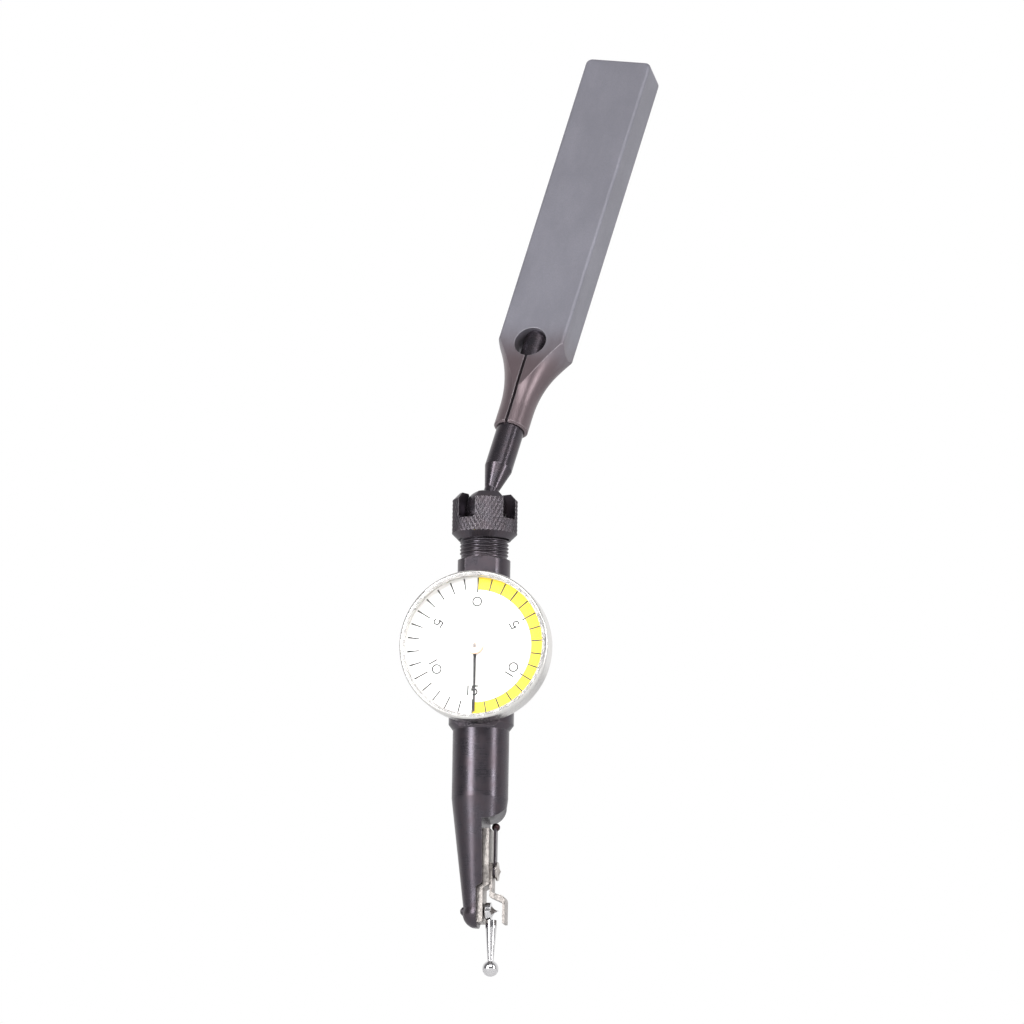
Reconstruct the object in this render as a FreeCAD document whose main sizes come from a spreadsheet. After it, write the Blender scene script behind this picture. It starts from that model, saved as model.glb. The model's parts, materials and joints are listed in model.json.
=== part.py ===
import FreeCAD, Part
import math
import os
import re

import Sketcher

# Lever type dial test indicator on a ball swivel, held by a flat tool post shank.
# Lengths are in millimetres and angles in degrees.
#
# Two local frames are used, and both are placed in the row's frame at the end:
#   indicator  origin where the dial's axis crosses the body's axis, +Z along the body
#              towards the clamp nut, dial facing -Y
#   holder     origin at the swivel ball's centre, +Z along the rod and the shank,
#              wide face of the shank facing -Y
# The row's origin is the middle of the shank's wide front face.

SIZES = [
    # shank: a flat bar turned down to a split collet
    ("shankWidth", 11.9), ("shankThickness", 6.35), ("shankLength", 74.6),
    ("shankEdgeRadius", 0.5), ("shankCornerRadius", 1.1), ("colletMouth", 16.3),
    ("colletWall", 0.6), ("colletLength", 4.0), ("colletChamfer", 0.3),
    ("flareRadius", 22.8), ("flareMargin", 0.63), ("reliefHoleRadius", 2.8),
    ("reliefHoleHeight", 16.1), ("slitWidth", 0.5), ("boreEndGap", 2.5), ("rodFit", 0.03),
    # swivel rod with its neck and ball
    ("rodRadius", 2.35), ("rodEnd", 40.8), ("rodChamfer", 0.4), ("ballRadius", 3.57),
    ("neckRadius", 1.25), ("neckLength", 0.78), ("coneLength", 4.15),
    # how the holder leans on the indicator in the stored pose
    ("leanAngle", 24.3), ("leanAzimuth", 153.5), ("twistAngle", -8.5),
    # clamp nut, by distance from the ball's centre
    ("ballHeight", 24.2), ("nutAboveBall", 2.7), ("nutBelowBall", 5.1), ("nutWall", 1.38),
    ("nutChamfer", 1.15), ("nutRimWidth", 1.1), ("nutMouth", 2.75), ("mouthChamfer", 0.2),
    ("nutSlotWidth", 3.4), ("nutSlotDepth", 1.8), ("nutSlotCorner", 0.5), ("nutRelief", 0.3),
    ("ballFit", 0.04),
    # neck, at the root of its thread, with the cup under the ball
    ("threadRadius", 3.85), ("threadFit", 0.32), ("threadBelowBall", 2.5), ("threadLength", 5.8),
    ("threadChamfer", 0.4), ("neckWall", 0.55), ("socketDepth", 4.8), ("cupFit", 0.05),
    ("cupDrop", 1.0), ("washerThickness", 0.3), ("washerHole", 1.4), ("washerFit", 0.1),
    # upper part, boss behind the dial, barrel and tapered nose
    ("barrelRadius", 4.76), ("shoulderStep", 0.6), ("shoulderChamfer", 0.3), ("bossStep", 0.74),
    ("bossTop", 9.5), ("bossMargin", 0.4), ("bossBlend", 1.0), ("noseRadius", 2.46),
    ("noseLength", 2.8), ("noseTipRadius", 0.9), ("noseRound", 2.6), ("taperStart", 0.4),
    # flat under the dial, flat on the neck, and the pocket for the movement
    ("flatDepth", 1.5), ("flatMargin", 0.4), ("neckFlat", 3.6), ("pocketHalfWidth", 2.6),
    ("crownGap", 0.25), ("pocketDrop", 4.0), ("pocketBackGap", 1.15), ("ledgeDepth", 1.1),
    ("ledgeRise", 2.2), ("ledgeDrop", 2.8),
    # heights on the nose, above the contact's pivot
    ("pivotDrop", 44.0), ("stepRise", 4.6), ("stepRun", 0.7), ("screwRise", 6.7), ("plateRise", 13.8),
    ("flatRise", 15.3), ("cutterRise", 18.1), ("taperRise", 19.0),
    # milled side of the nose and the slot for the lever
    ("sideFlat", 1.15), ("lowerFlat", 0.1), ("cutterRadius", 3.4), ("slotGap", 0.25),
    ("slotSideGap", 0.6), ("slotEndGap", 0.3),
    # contact lever, its pivot and the gear train
    ("pivotRadius", 0.6), ("pivotFit", 0.03), ("pivotHeadStep", 0.12), ("pivotHeadHeight", 0.9),
    ("pivotSeatWall", 0.3), ("eyeWall", 0.35), ("leverThickness", 0.6), ("leverMiddle", -1.2),
    ("armHalfWidth", 0.62), ("armFlare", 2.0), ("headDepth", 0.9), ("toothModule", 0.2),
    ("pinionTeeth", 12), ("crownTeeth", 27), ("sectorTeeth", 7), ("pinionLength", 1.0),
    ("crownThickness", 0.5), ("crownFace", 0.5), ("crownHubWall", 0.5), ("crownHubStep", 0.1),
    # shafts and bushes
    ("shaftRadius", 0.35), ("shaftFit", 0.03), ("shaftEnd", 0.15), ("bushWall", 0.6),
    ("bushLength", 0.95), ("bushInset", 0.05), ("arborPivotRadius", 0.25), ("arborPivotLength", 0.65),
    ("arborPinionLength", 1.2), ("arborTipChamfer", 0.05), ("frontBushRise", 0.3),
    # movement bridge
    ("bridgeThickness", 0.6), ("bridgeWaist", 0.6), ("bridgeTopReach", 1.6), ("bridgeFootReach", 2.3),
    ("bridgeFlare", 0.4), ("bridgeFit", 0.1), ("bridgeScrewEdge", 1.0), ("bridgeScrewAcross", 1.1),
    # dial case, bezel, crystal and dial
    ("caseRadius", 12.0), ("caseWall", 0.55), ("caseFloor", 0.5), ("caseDepth", 2.15),
    ("bezelFit", 0.08), ("bezelWall", 0.62), ("bezelLift", 0.15), ("bezelLap", 0.4),
    ("bezelRimWall", 0.55), ("bezelRimHeight", 0.35), ("bezelRound", 0.45), ("crystalThickness", 0.5),
    ("crystalGap", 0.95), ("dialInset", 0.3), ("dialGap", 0.3), ("dialThickness", 0.35),
    ("dialShelfWidth", 0.55), ("dialShelfThickness", 0.15), ("dialHole", 0.8),
    ("ringWire", 0.26), ("ringFit", 0.05), ("ringInset", 0.07), ("ringRise", 1.0), ("ringOpening", 6.0),
    # pointer
    ("pointerGap", 0.2), ("pointerThickness", 0.12), ("pointerEndGap", 0.65),
    ("pointerTipHalf", 0.13), ("pointerRootHalf", 0.25), ("pointerEyeRadius", 0.85),
    ("pointerHubRadius", 1.45),
    ("pointerHubThickness", 0.28), ("pointerHubChamfer", 0.1), ("arborTipRise", 0.1),
    # side plate and guard
    ("plateThickness", 1.0), ("plateHalfWidth", 2.6), ("plateLowerHalf", 1.9), ("plateDrop", 2.0),
    ("plateFit", 0.05), ("plateStepShift", 0.15), ("plateTrimRise", 3.0), ("guardThickness", 0.45),
    ("guardHalfWidth", 1.45), ("guardGap", 0.75), ("guardDrop", 2.2), ("guardBend", 0.7),
    ("guardShoulderGap", 0.8), ("guardLegRise", 1.35),
    # reversing lever, its knob and its screw
    ("leverScrewRadius", 0.6), ("leverHeadRadius", 1.6), ("leverHeadHeight", 0.75), ("leverHeadEdge", 0.26),
    ("leverScrewSink", 0.4), ("reverserFit", 0.04), ("reverserThickness", 0.4),
    ("reverserHalfWidth", 0.75), ("reverserEyeWall", 0.4), ("knobRadius", 0.7), ("knobRise", 7.5),
    ("knobSeat", 0.3),
    # contact
    ("hubRadius", 1.5), ("hubGap", 0.15), ("hubLength", 1.05), ("hubDome", 1.35), ("hubChamfer", 0.2),
    ("contactLength", 9.7), ("stemCollar", 1.15), ("stemTopRadius", 0.95), ("stemBottomRadius", 0.5),
    ("stemOffset", 0.15), ("stemSink", 0.2), ("contactBallRadius", 1.365),
    # small screws, and the clearance left between parts of one body
    ("screwRadius", 0.5), ("screwHeadRadius", 0.95), ("screwHeadHeight", 0.45), ("screwLength", 2.1),
    ("tappedDepth", 1.7), ("caseScrewRise", 8.2), ("caseScrewDrop", 9.0), ("caseScrewAcross", 1.7),
    ("bridgeScrewRadius", 0.4), ("bridgeHeadRadius", 0.76), ("bridgeHeadHeight", 0.36),
    ("bridgeScrewLength", 1.9), ("slip", 0.01), ("beyond", 1.0),
]

# Sizes that follow from the ones above.
DERIVED = {
    "colletRadius": "rodRadius + colletWall",
    "flareReach": "sqrt(shankWidth ^ 2 + shankThickness ^ 2) / 2 + flareMargin",
    "shoulder": "colletMouth + colletLength"
                " + sqrt(flareRadius ^ 2 - (flareRadius - (flareReach - colletRadius)) ^ 2)",
    "shankTop": "colletMouth + shankLength",
    "mountHeight": "(shoulder + shankTop) / 2",
    "boreDepth": "rodEnd - colletMouth + boreEndGap",
    "ballSeat": "ballRadius + ballFit",
    "nutTop": "ballHeight + nutAboveBall",
    "nutBottom": "ballHeight - nutBelowBall",
    "nutBore": "threadRadius + threadFit",
    "nutRadius": "nutBore + nutWall",
    "threadTop": "ballHeight - threadBelowBall",
    "threadBottom": "threadTop - threadLength",
    "socketFloor": "threadTop - socketDepth",
    "socketRadius": "threadRadius - neckWall",
    "cupRadius": "socketRadius - cupFit",
    "cupTop": "threadTop - cupDrop",
    "cupFloor": "socketFloor + washerThickness + slip * 5",
    "upperRadius": "threadRadius + shoulderStep",
    "bossRadius": "barrelRadius + bossStep",
    "bossBottom": "-(caseRadius + bossMargin)",
    "dialFlat": "bossRadius - flatDepth",
    "bezelRadius": "caseRadius + bezelFit + bezelWall",
    "flatReach": "bezelRadius + flatMargin",
    "pivotHeight": "-pivotDrop",
    "noseBottom": "pivotHeight - noseLength",
    "taperBottom": "pivotHeight + taperStart",
    "taperTop": "pivotHeight + taperRise",
    "flatStep": "pivotHeight + stepRise",
    "flatTop": "pivotHeight + flatRise",
    "cutterTop": "pivotHeight + cutterRise",
    "screwHeight": "pivotHeight + screwRise",
    "plateTop": "pivotHeight + plateRise",
    "plateBottom": "pivotHeight - plateDrop",
    "knobHeight": "screwHeight + knobRise",
    "guardShoulder": "pivotHeight + hubRadius + guardShoulderGap",
    "guardBottom": "pivotHeight - guardDrop",
    "pinionRadius": "toothModule * pinionTeeth / 2",
    "pinionRoot": "pinionRadius - toothModule * dedendum",
    "crownRadius": "toothModule * crownTeeth / 2",
    "sectorRadius": "pivotDrop - pinionRadius",
    "sectorRoot": "sectorRadius - toothModule * dedendum",
    "sectorRatio": "sectorRadius / pinionRadius",
    "crownRatio": "crownTeeth / pinionTeeth",
    "contactSweep": "360 / (sectorRatio * crownRatio)",
    "leverThrow": "sectorRadius * contactSweep / 360 * pi",
    "crownRoot": "pinionRadius + toothModule * 1.2",
    "pocketTop": "crownRadius + crownFace / 2 + crownGap",
    "pocketBack": "crownRadius + crownFace / 2 + pocketBackGap",
    "pocketBottom": "-pocketDrop",
    "ledgeTop": "pocketTop + ledgeRise",
    "ledgeBottom": "pocketBottom - ledgeDrop",
    "leverBack": "leverMiddle - leverThickness / 2",
    "leverFront": "leverMiddle + leverThickness / 2",
    "slotLeft": "leverBack - slotGap",
    "slotRight": "leverFront + slotGap",
    "eyeRadius": "pivotRadius + eyeWall",
    "slotBottom": "pivotHeight - eyeRadius - slotEndGap",
    "pivotSeat": "-slotLeft + pivotSeatWall",
    "pivotHeadRadius": "pivotRadius + pivotHeadStep",
    "pivotHeadReach": "pivotSeat + pivotHeadHeight",
    "bushRadius": "shaftRadius + bushWall",
    "bushStart": "pocketHalfWidth + bushInset",
    "bushReach": "bushStart + bushLength",
    "shaftReach": "bushReach - shaftEnd",
    "caseFront": "dialFlat + caseDepth",
    "dialBack": "caseFront + dialGap",
    "dialFront": "dialBack + dialThickness",
    "dialRadius": "crystalRadius - dialInset",
    "dialShelf": "dialRadius - dialShelfWidth",
    "crystalRadius": "bezelRadius - bezelRimWall",
    "crystalBack": "dialFront + crystalGap",
    "crystalFront": "crystalBack + crystalThickness",
    "bezelLip": "crystalRadius - bezelLap",
    "bezelBack": "dialFlat + bezelLift",
    "bezelFront": "crystalFront + bezelRimHeight",
    "ringPlane": "dialFlat + ringRise",
    "ringRadius": "caseRadius - ringInset",
    "pointerBack": "dialFront + pointerGap",
    "pointerFront": "pointerBack + pointerThickness",
    "hubFront": "pointerFront + pointerHubThickness",
    "arborTip": "hubFront + arborTipRise",
    "pointerLength": "dialRadius - pointerEndGap",
    "legFace": "sideFlat + plateThickness",
    "lowerFace": "lowerFlat + plateThickness",
    "leverFace": "legFace + guardThickness + reverserFit",
    "headFace": "leverFace + reverserThickness + reverserFit",
    "hubStart": "lowerFace + hubGap",
    "hubMiddle": "hubStart + hubLength",
    "hubEnd": "hubMiddle + hubDome",
    "stemAcross": "(hubStart + hubEnd) / 2 - stemOffset",
    "stemBottom": "contactBallRadius - contactLength - stemSink",
    "guardReach": "hubEnd + guardGap + guardThickness",
    # proportions of a tooth, in modules
    "dedendum": "1.25",
    "addendum": "0.9",
    "rootHalf": "0.95",
    "pitchHalf": "0.7",
    "tipHalf": "0.3",
}

CASE_SCREWS = [("UpperCaseScrew", "0", "caseScrewRise"),
               ("LowerCaseScrew", "caseScrewAcross", "-caseScrewDrop")]
BRIDGE_SCREWS = [("UpperBridgeScrew", "0", "ledgeTop - bridgeScrewEdge"),
                 ("LowerBridgeScrew", "bridgeScrewAcross", "ledgeBottom + bridgeScrewEdge + bridgeFit * 2")]

doc = FreeCAD.newDocument("dial_test_indicator")
sheet = doc.addObject("Spreadsheet::Sheet", "Sizes")
for row, (alias, value) in enumerate(SIZES, start=1):
    sheet.set("A%d" % row, alias)
    sheet.set("B%d" % row, str(value))
    sheet.setAlias("B%d" % row, alias)
doc.recompute()

ALIASES = {alias for alias, value in SIZES}
parts = []


def sized(expression):
    """The expression with derived sizes written out and every size's name pointing at the sheet."""
    def named(word):
        name = word.group()
        if name in DERIVED:
            return "(%s)" % sized(DERIVED[name])
        return "Sizes." + name if name in ALIASES else name

    return re.sub(r"[A-Za-z_]\w*", named, str(expression))


def size(expression):
    """The number an expression of sizes stands for."""
    return float(sheet.evalExpression(sized(expression)))


def bind(thing, **properties):
    """Ties properties to expressions of sizes; a double underscore in a name stands for a dot."""
    for name, expression in properties.items():
        thing.setExpression(name.replace("__", "."), sized(expression))


def new_body(name):
    return doc.addObject("PartDesign::Body", name)


def origin_part(body, role):
    """One of the body's own origin planes or axes."""
    return [feature for feature in body.Origin.OriginFeatures if feature.Role == role][0]


def new_sketch(body, name, plane, offset="0", across="0"):
    """A sketch on one of the body's origin planes, moved along the plane's normal and sideways."""
    sketch = body.newObject("Sketcher::SketchObject", name)
    sketch.AttachmentSupport = [(origin_part(body, plane), "")]
    sketch.MapMode = "FlatFace"
    bind(sketch, AttachmentOffset__Base__z=offset, AttachmentOffset__Base__x=across)
    return sketch


def pin_point(sketch, geometry, point, across, up):
    """Fixes one point of a sketch at two expressions of sizes."""
    for kind, expression in (("DistanceX", across), ("DistanceY", up)):
        value = size(expression)
        index = sketch.addConstraint(Sketcher.Constraint(kind, -1, 1, geometry, point, value))
        sketch.setExpression("Constraints[%d]" % index, sized(expression))


def pin_radius(sketch, geometry, radius):
    """Ties the radius of an arc or a circle to an expression of sizes."""
    index = sketch.addConstraint(Sketcher.Constraint("Radius", geometry, size(radius)))
    sketch.setExpression("Constraints[%d]" % index, sized(radius))


def draw(sketch, outline):
    """Draws a closed outline. A corner is (across, up); with a radius as a third item, the
    stretch from that corner to the next is an arc of that radius, bulging to the right of the
    way round when the radius has no minus sign, and to the left when it has one."""
    corners = [(size(item[0]), size(item[1])) for item in outline]
    first = sketch.GeometryCount
    for index, item in enumerate(outline):
        start = FreeCAD.Vector(*corners[index], 0)
        end = FreeCAD.Vector(*corners[(index + 1) % len(outline)], 0)
        if len(item) == 3:
            bulge = size(item[2])
            radius = abs(bulge)
            middle = (start + end) * 0.5
            along = (end - start).normalize()
            right = FreeCAD.Vector(along.y, -along.x, 0) * math.copysign(1, bulge)
            half = (end - start).Length / 2
            sagitta = radius - math.sqrt(radius * radius - half * half)
            sketch.addGeometry(Part.Arc(start, middle + right * sagitta, end), False)
        else:
            sketch.addGeometry(Part.LineSegment(start, end), False)
    for index, item in enumerate(outline):
        own = first + index
        following = first + (index + 1) % len(outline)
        next_item = outline[(index + 1) % len(outline)]
        own_turned = len(item) == 3 and size(item[2]) < 0
        next_turned = len(next_item) == 3 and size(next_item[2]) < 0
        own_start, own_end = (2, 1) if own_turned else (1, 2)
        next_start = 2 if next_turned else 1
        sketch.addConstraint(Sketcher.Constraint("Coincident", own, own_end, following, next_start))
        pin_point(sketch, own, own_start, item[0], item[1])
        if len(item) == 3:
            pin_radius(sketch, own, "abs(%s)" % item[2])
    return sketch


def draw_circle(sketch, across, up, radius):
    centre = FreeCAD.Vector(size(across), size(up), 0)
    own = sketch.addGeometry(Part.Circle(centre, FreeCAD.Vector(0, 0, 1), size(radius)), False)
    pin_point(sketch, own, 3, across, up)
    pin_radius(sketch, own, radius)
    return sketch


def box_outline(left, bottom, right, top):
    return [(left, bottom), (right, bottom), (right, top), (left, top)]


def turned(body, plane, axis, outline, name="Turned", cut=False, across="0"):
    """A full turn of an outline about the sketch's H_Axis or V_Axis."""
    kind = "PartDesign::Groove" if cut else "PartDesign::Revolution"
    sketch = draw(new_sketch(body, name + "Profile", plane, "0", across), outline)
    feature = body.newObject(kind, name)
    feature.Profile = sketch
    feature.ReferenceAxis = (sketch, [axis])
    feature.Angle = 360
    return feature


def padded(body, sketch, length, name="Pad", both_ways=False):
    feature = body.newObject("PartDesign::Pad", name)
    feature.Profile = sketch
    bind(feature, Length=length)
    feature.Midplane = both_ways
    return feature


def pocketed(body, sketch, length, name="Pocket", both_ways=False):
    """A pocket that runs from the sketch along its plane's normal, or to both sides of it."""
    feature = body.newObject("PartDesign::Pocket", name)
    feature.Profile = sketch
    bind(feature, Length=length)
    feature.Reversed = not both_ways
    feature.Midplane = both_ways
    return feature


def holed(body, name, plane, across, up, radius, start, depth):
    """A round hole drilled along a plane's normal, from start to start plus depth."""
    sketch = draw_circle(new_sketch(body, name + "Circle", plane, start), across, up, radius)
    return pocketed(body, sketch, depth, name)


def repeated(body, feature, axis_role, count, sweep="360", name="Pattern"):
    """Copies of a feature about one of the body's origin axes."""
    pattern = body.newObject("PartDesign::PolarPattern", name)
    pattern.Originals = [feature]
    pattern.Axis = (origin_part(body, axis_role), [""])
    pattern.Occurrences = int(round(size(count)))
    bind(pattern, Occurrences=count, Angle=sweep)
    body.Tip = pattern
    return pattern


def finished(thing, label, frame):
    """Registers a sub-part under its name, in the frame it was drawn in."""
    thing.Label = label
    parts.append((thing, label, frame))
    return thing


def grouped(name, members, label):
    """Several like pieces as one node."""
    group = doc.addObject("Part::Compound", name)
    group.Links = members
    return finished(group, label, "indicator")


def primitive(kind, name, **expressions):
    thing = doc.addObject("Part::" + kind, name)
    bind(thing, **expressions)
    return thing


def cut(name, base, tool):
    result = doc.addObject("Part::Cut", name)
    result.Base = base
    result.Tool = tool
    return result


# ---------------------------------------------------------------- holder

def face_loop(feature, thickness, floor):
    """The edges round the two wide faces of a flat bar, but for those at its lower end."""
    names = []
    for number, edge in enumerate(feature.Shape.Edges, start=1):
        heights = [vertex.Point.z for vertex in edge.Vertexes]
        on_face = all(abs(abs(vertex.Point.y) - thickness / 2) < 1e-6 for vertex in edge.Vertexes)
        if on_face and max(heights) > floor + 1e-6:
            names.append("Edge%d" % number)
    return names


def make_shank():
    """The flat bar, turned down to a round collet that is split up to a relief hole."""
    body = new_body("Shank")
    half = "shankWidth / 2"
    outline = [("-%s" % half, "colletMouth"), (half, "colletMouth"),
               (half, "shankTop - shankCornerRadius", "shankCornerRadius"),
               ("%s - shankCornerRadius" % half, "shankTop"),
               ("-%s + shankCornerRadius" % half, "shankTop", "shankCornerRadius"),
               ("-%s" % half, "shankTop - shankCornerRadius")]
    bar = padded(body, draw(new_sketch(body, "BarOutline", "XZ_Plane"), outline), "shankThickness",
                 "Bar", both_ways=True)
    doc.recompute()
    edges = body.newObject("PartDesign::Fillet", "FaceEdges")
    edges.Base = (bar, face_loop(bar, size("shankThickness"), size("colletMouth")))
    bind(edges, Radius="shankEdgeRadius")
    doc.recompute()
    turned(body, "XZ_Plane", "V_Axis", [
        ("colletRadius - colletChamfer", "colletMouth - beyond"),
        ("colletRadius - colletChamfer", "colletMouth"),
        ("colletRadius", "colletMouth + colletChamfer"),
        ("colletRadius", "colletMouth + colletLength", "-flareRadius"),
        ("flareReach", "shoulder"),
        ("shankWidth", "shoulder"),
        ("shankWidth", "colletMouth - beyond")], "ColletTurning", cut=True)
    doc.recompute()
    bore = new_sketch(body, "RodBoreCircle", "XY_Plane", "colletMouth - beyond")
    pocketed(body, draw_circle(bore, "0", "0", "rodRadius + rodFit"), "boreDepth + beyond", "RodBore")
    holed(body, "ReliefHole", "XZ_Plane", "0", "colletMouth + reliefHoleHeight", "reliefHoleRadius",
          "-shankThickness", "shankThickness * 2")
    slit = new_sketch(body, "SlitOutline", "XZ_Plane")
    draw(slit, box_outline("-slitWidth / 2", "colletMouth - beyond", "slitWidth / 2",
                           "colletMouth + reliefHoleHeight"))
    pocketed(body, slit, "shankThickness * 2", "Slit", both_ways=True)
    finished(body, "holder_shank", "holder")


def make_rod():
    """Straight rod, cone, neck and ball, turned from one piece."""
    body = new_body("Rod")
    neck_end = "ballRadius + neckLength"
    turned(body, "XZ_Plane", "V_Axis", [
        ("0", "-ballRadius", "ballRadius"),
        ("neckRadius", "sqrt(ballRadius ^ 2 - neckRadius ^ 2)"),
        ("neckRadius", neck_end),
        ("rodRadius", neck_end + " + coneLength"),
        ("rodRadius", "rodEnd - rodChamfer"),
        ("rodRadius - rodChamfer", "rodEnd"),
        ("0", "rodEnd")])
    finished(body, "swivel_rod", "holder")


def make_nut():
    """Clamp nut with a ball seat inside and two crossed slots for the rod's neck."""
    body = new_body("Nut")
    turned(body, "XZ_Plane", "V_Axis", [
        ("nutBore", "nutBottom"),
        ("nutRadius - nutChamfer", "nutBottom"),
        ("nutRadius", "nutBottom + nutChamfer"),
        ("nutRadius", "nutTop - nutChamfer"),
        ("nutRadius - nutRimWidth", "nutTop"),
        ("nutMouth + mouthChamfer", "nutTop"),
        ("nutMouth", "ballHeight + sqrt(ballSeat ^ 2 - nutMouth ^ 2)", "-ballSeat"),
        ("ballSeat", "ballHeight"),
        ("ballSeat", "threadTop + nutRelief * 2"),
        ("nutBore", "threadTop + nutRelief")])
    doc.recompute()
    half = "nutSlotWidth / 2"
    floor = "ballHeight - nutSlotDepth"
    outline = [("-%s" % half, floor + " + nutSlotCorner"), ("-%s + nutSlotCorner" % half, floor),
               ("%s - nutSlotCorner" % half, floor), (half, floor + " + nutSlotCorner"),
               (half, "nutTop + beyond"), ("-%s" % half, "nutTop + beyond")]
    for name, plane in (("SlotAcross", "XZ_Plane"), ("SlotAlong", "YZ_Plane")):
        sketch = draw(new_sketch(body, name + "Outline", plane), outline)
        pocketed(body, sketch, "(nutRadius + beyond) * 2", name, both_ways=True)
    finished(body, "clamp_nut", "nut")


def make_ball_seat():
    """Friction cup under the ball and the spring washer under the cup."""
    cup = new_body("BallCup")
    turned(cup, "XZ_Plane", "V_Axis", [
        ("0", "cupFloor"),
        ("cupRadius", "cupFloor"),
        ("cupRadius", "cupTop"),
        ("sqrt(ballSeat ^ 2 - (ballHeight - cupTop) ^ 2)", "cupTop", "-ballSeat"),
        ("0", "ballHeight - ballSeat")])
    finished(cup, "ball_seat", "indicator")
    washer = new_body("SeatWasher")
    turned(washer, "XZ_Plane", "V_Axis", box_outline(
        "washerHole", "socketFloor", "socketRadius - washerFit", "socketFloor + washerThickness"))
    finished(washer, "seat_spring_washer", "indicator")


# ---------------------------------------------------------------- body

def turn_body(body):
    """The outside of the body with the socket in its threaded neck."""
    turned(body, "XZ_Plane", "V_Axis", [
        ("0", "noseBottom"),
        ("noseTipRadius", "noseBottom", "noseRound"),
        ("noseRadius", "taperBottom"),
        ("barrelRadius", "taperTop"),
        ("barrelRadius", "bossBottom - bossBlend"),
        ("bossRadius", "bossBottom"),
        ("bossRadius", "bossTop"),
        ("upperRadius", "bossTop + bossBlend"),
        ("upperRadius", "threadBottom - shoulderChamfer"),
        ("threadRadius", "threadBottom"),
        ("threadRadius", "threadTop - threadChamfer"),
        ("threadRadius - threadChamfer", "threadTop"),
        ("socketRadius", "threadTop"),
        ("socketRadius", "socketFloor"),
        ("0", "socketFloor")])


def mill_front(body):
    """Flats for the dial and on the neck, then the stepped pocket for the movement."""
    wide = "bossRadius + beyond"
    flats = (("DialFlat", "dialFlat", "-flatReach", "bossTop + bossBlend"),
             ("NeckFlat", "neckFlat", "bossTop + bossBlend", "threadBottom"))
    for name, depth, bottom, top in flats:
        sketch = new_sketch(body, name + "Outline", "XZ_Plane", depth)
        draw(sketch, box_outline("-(%s)" % wide, bottom, wide, top))
        pocketed(body, sketch, "bossRadius", name)
    half = "pocketHalfWidth"
    ledge = new_sketch(body, "LedgeOutline", "XZ_Plane", "ledgeDepth")
    pocketed(body, draw(ledge, box_outline("-" + half, "ledgeBottom", half, "ledgeTop")),
             "bossRadius", "BridgeLedge")
    pocket = new_sketch(body, "PocketOutline", "XZ_Plane", "-pocketBack")
    pocketed(body, draw(pocket, box_outline("-" + half, "pocketBottom", half, "pocketTop")),
             "bossRadius * 2", "MovementPocket")


def mill_nose(body):
    """The slot that the lever swings in and the flat side that carries plate and guard."""
    slot = new_sketch(body, "LeverSlotOutline", "YZ_Plane", "slotLeft")
    low = "eyeRadius + slotEndGap"
    high = "armHalfWidth + leverThrow + slotSideGap"
    rise = "pocketBottom + slotEndGap"
    draw(slot, [("-(%s)" % low, "slotBottom"), (low, "slotBottom"), (high, rise), ("-(%s)" % high, rise)])
    pocketed(body, slot, "slotRight - slotLeft", "LeverSlot")
    side = new_sketch(body, "MilledSideOutline", "XZ_Plane")
    wide = "barrelRadius + beyond"
    draw(side, [(wide, "cutterTop"), ("barrelRadius", "cutterTop", "-cutterRadius"),
                ("sideFlat", "flatTop"), ("sideFlat", "flatStep"), ("lowerFlat", "flatStep - stepRun"),
                ("lowerFlat", "noseBottom - beyond"), (wide, "noseBottom - beyond")])
    pocketed(body, side, "barrelRadius * 4", "MilledSide", both_ways=True)


def drill_body(body):
    """Holes for the pivot, the cross shaft and the screws."""
    far = "bossRadius + beyond"
    holed(body, "PivotHole", "YZ_Plane", "0", "pivotHeight", "pivotRadius + pivotFit", "-barrelRadius",
          "barrelRadius * 2")
    holed(body, "PivotSpotFace", "YZ_Plane", "0", "pivotHeight", "pivotHeadRadius + pivotFit",
          "-barrelRadius", "barrelRadius - pivotSeat")
    holed(body, "CrossShaftHole", "YZ_Plane", "0", "0", "bushRadius + slip", "-(%s)" % far,
          "(%s) * 2" % far)
    holed(body, "LeverScrewHole", "YZ_Plane", "0", "screwHeight", "leverScrewRadius + slip",
          "slotRight + slotEndGap", "barrelRadius")
    for name, across, height in CASE_SCREWS:
        holed(body, name + "Tapping", "XZ_Plane", across, height, "screwRadius + slip",
              "dialFlat - tappedDepth", "bossRadius")
    for name, across, height in BRIDGE_SCREWS:
        holed(body, name + "Tapping", "XZ_Plane", across, height, "bridgeScrewRadius + slip",
              "ledgeDepth - tappedDepth", "bossRadius")


def make_body():
    """Barrel, boss, threaded neck and tapered nose in one piece, with its pockets and holes."""
    body = new_body("IndicatorBody")
    turn_body(body)
    doc.recompute()
    mill_front(body)
    mill_nose(body)
    drill_body(body)
    finished(body, "indicator_body", "indicator")


# ---------------------------------------------------------------- dial

def ring_groove(side, floor):
    """The four corners of the groove that half of the bezel's spring ring lies in."""
    low = "-ringPlane - ringWire / 2 - ringFit"
    high = "-ringPlane + ringWire / 2 + ringFit"
    return [(side, low), (floor, low), (floor, high), (side, high)]


def make_case():
    """Shallow cup screwed to the flat: it carries the arbor's front bush and the bezel."""
    body = new_body("DialCase")
    inner = "caseRadius - caseWall"
    floor = "-dialFlat - caseFloor"
    turned(body, "XY_Plane", "V_Axis", [
        ("bushRadius + slip", "-dialFlat"), ("bushRadius + slip", floor),
        (inner, floor), (inner, "-caseFront"), ("caseRadius", "-caseFront"),
        *ring_groove("caseRadius", "ringRadius - ringWire / 2 - ringFit"),
        ("caseRadius", "-dialFlat")])
    doc.recompute()
    for name, across, height in CASE_SCREWS:
        holed(body, name + "Hole", "XZ_Plane", across, height, "screwRadius + slip * 3",
              "dialFlat - caseFloor", "caseFront")
    finished(body, "dial_case", "indicator")


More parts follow.
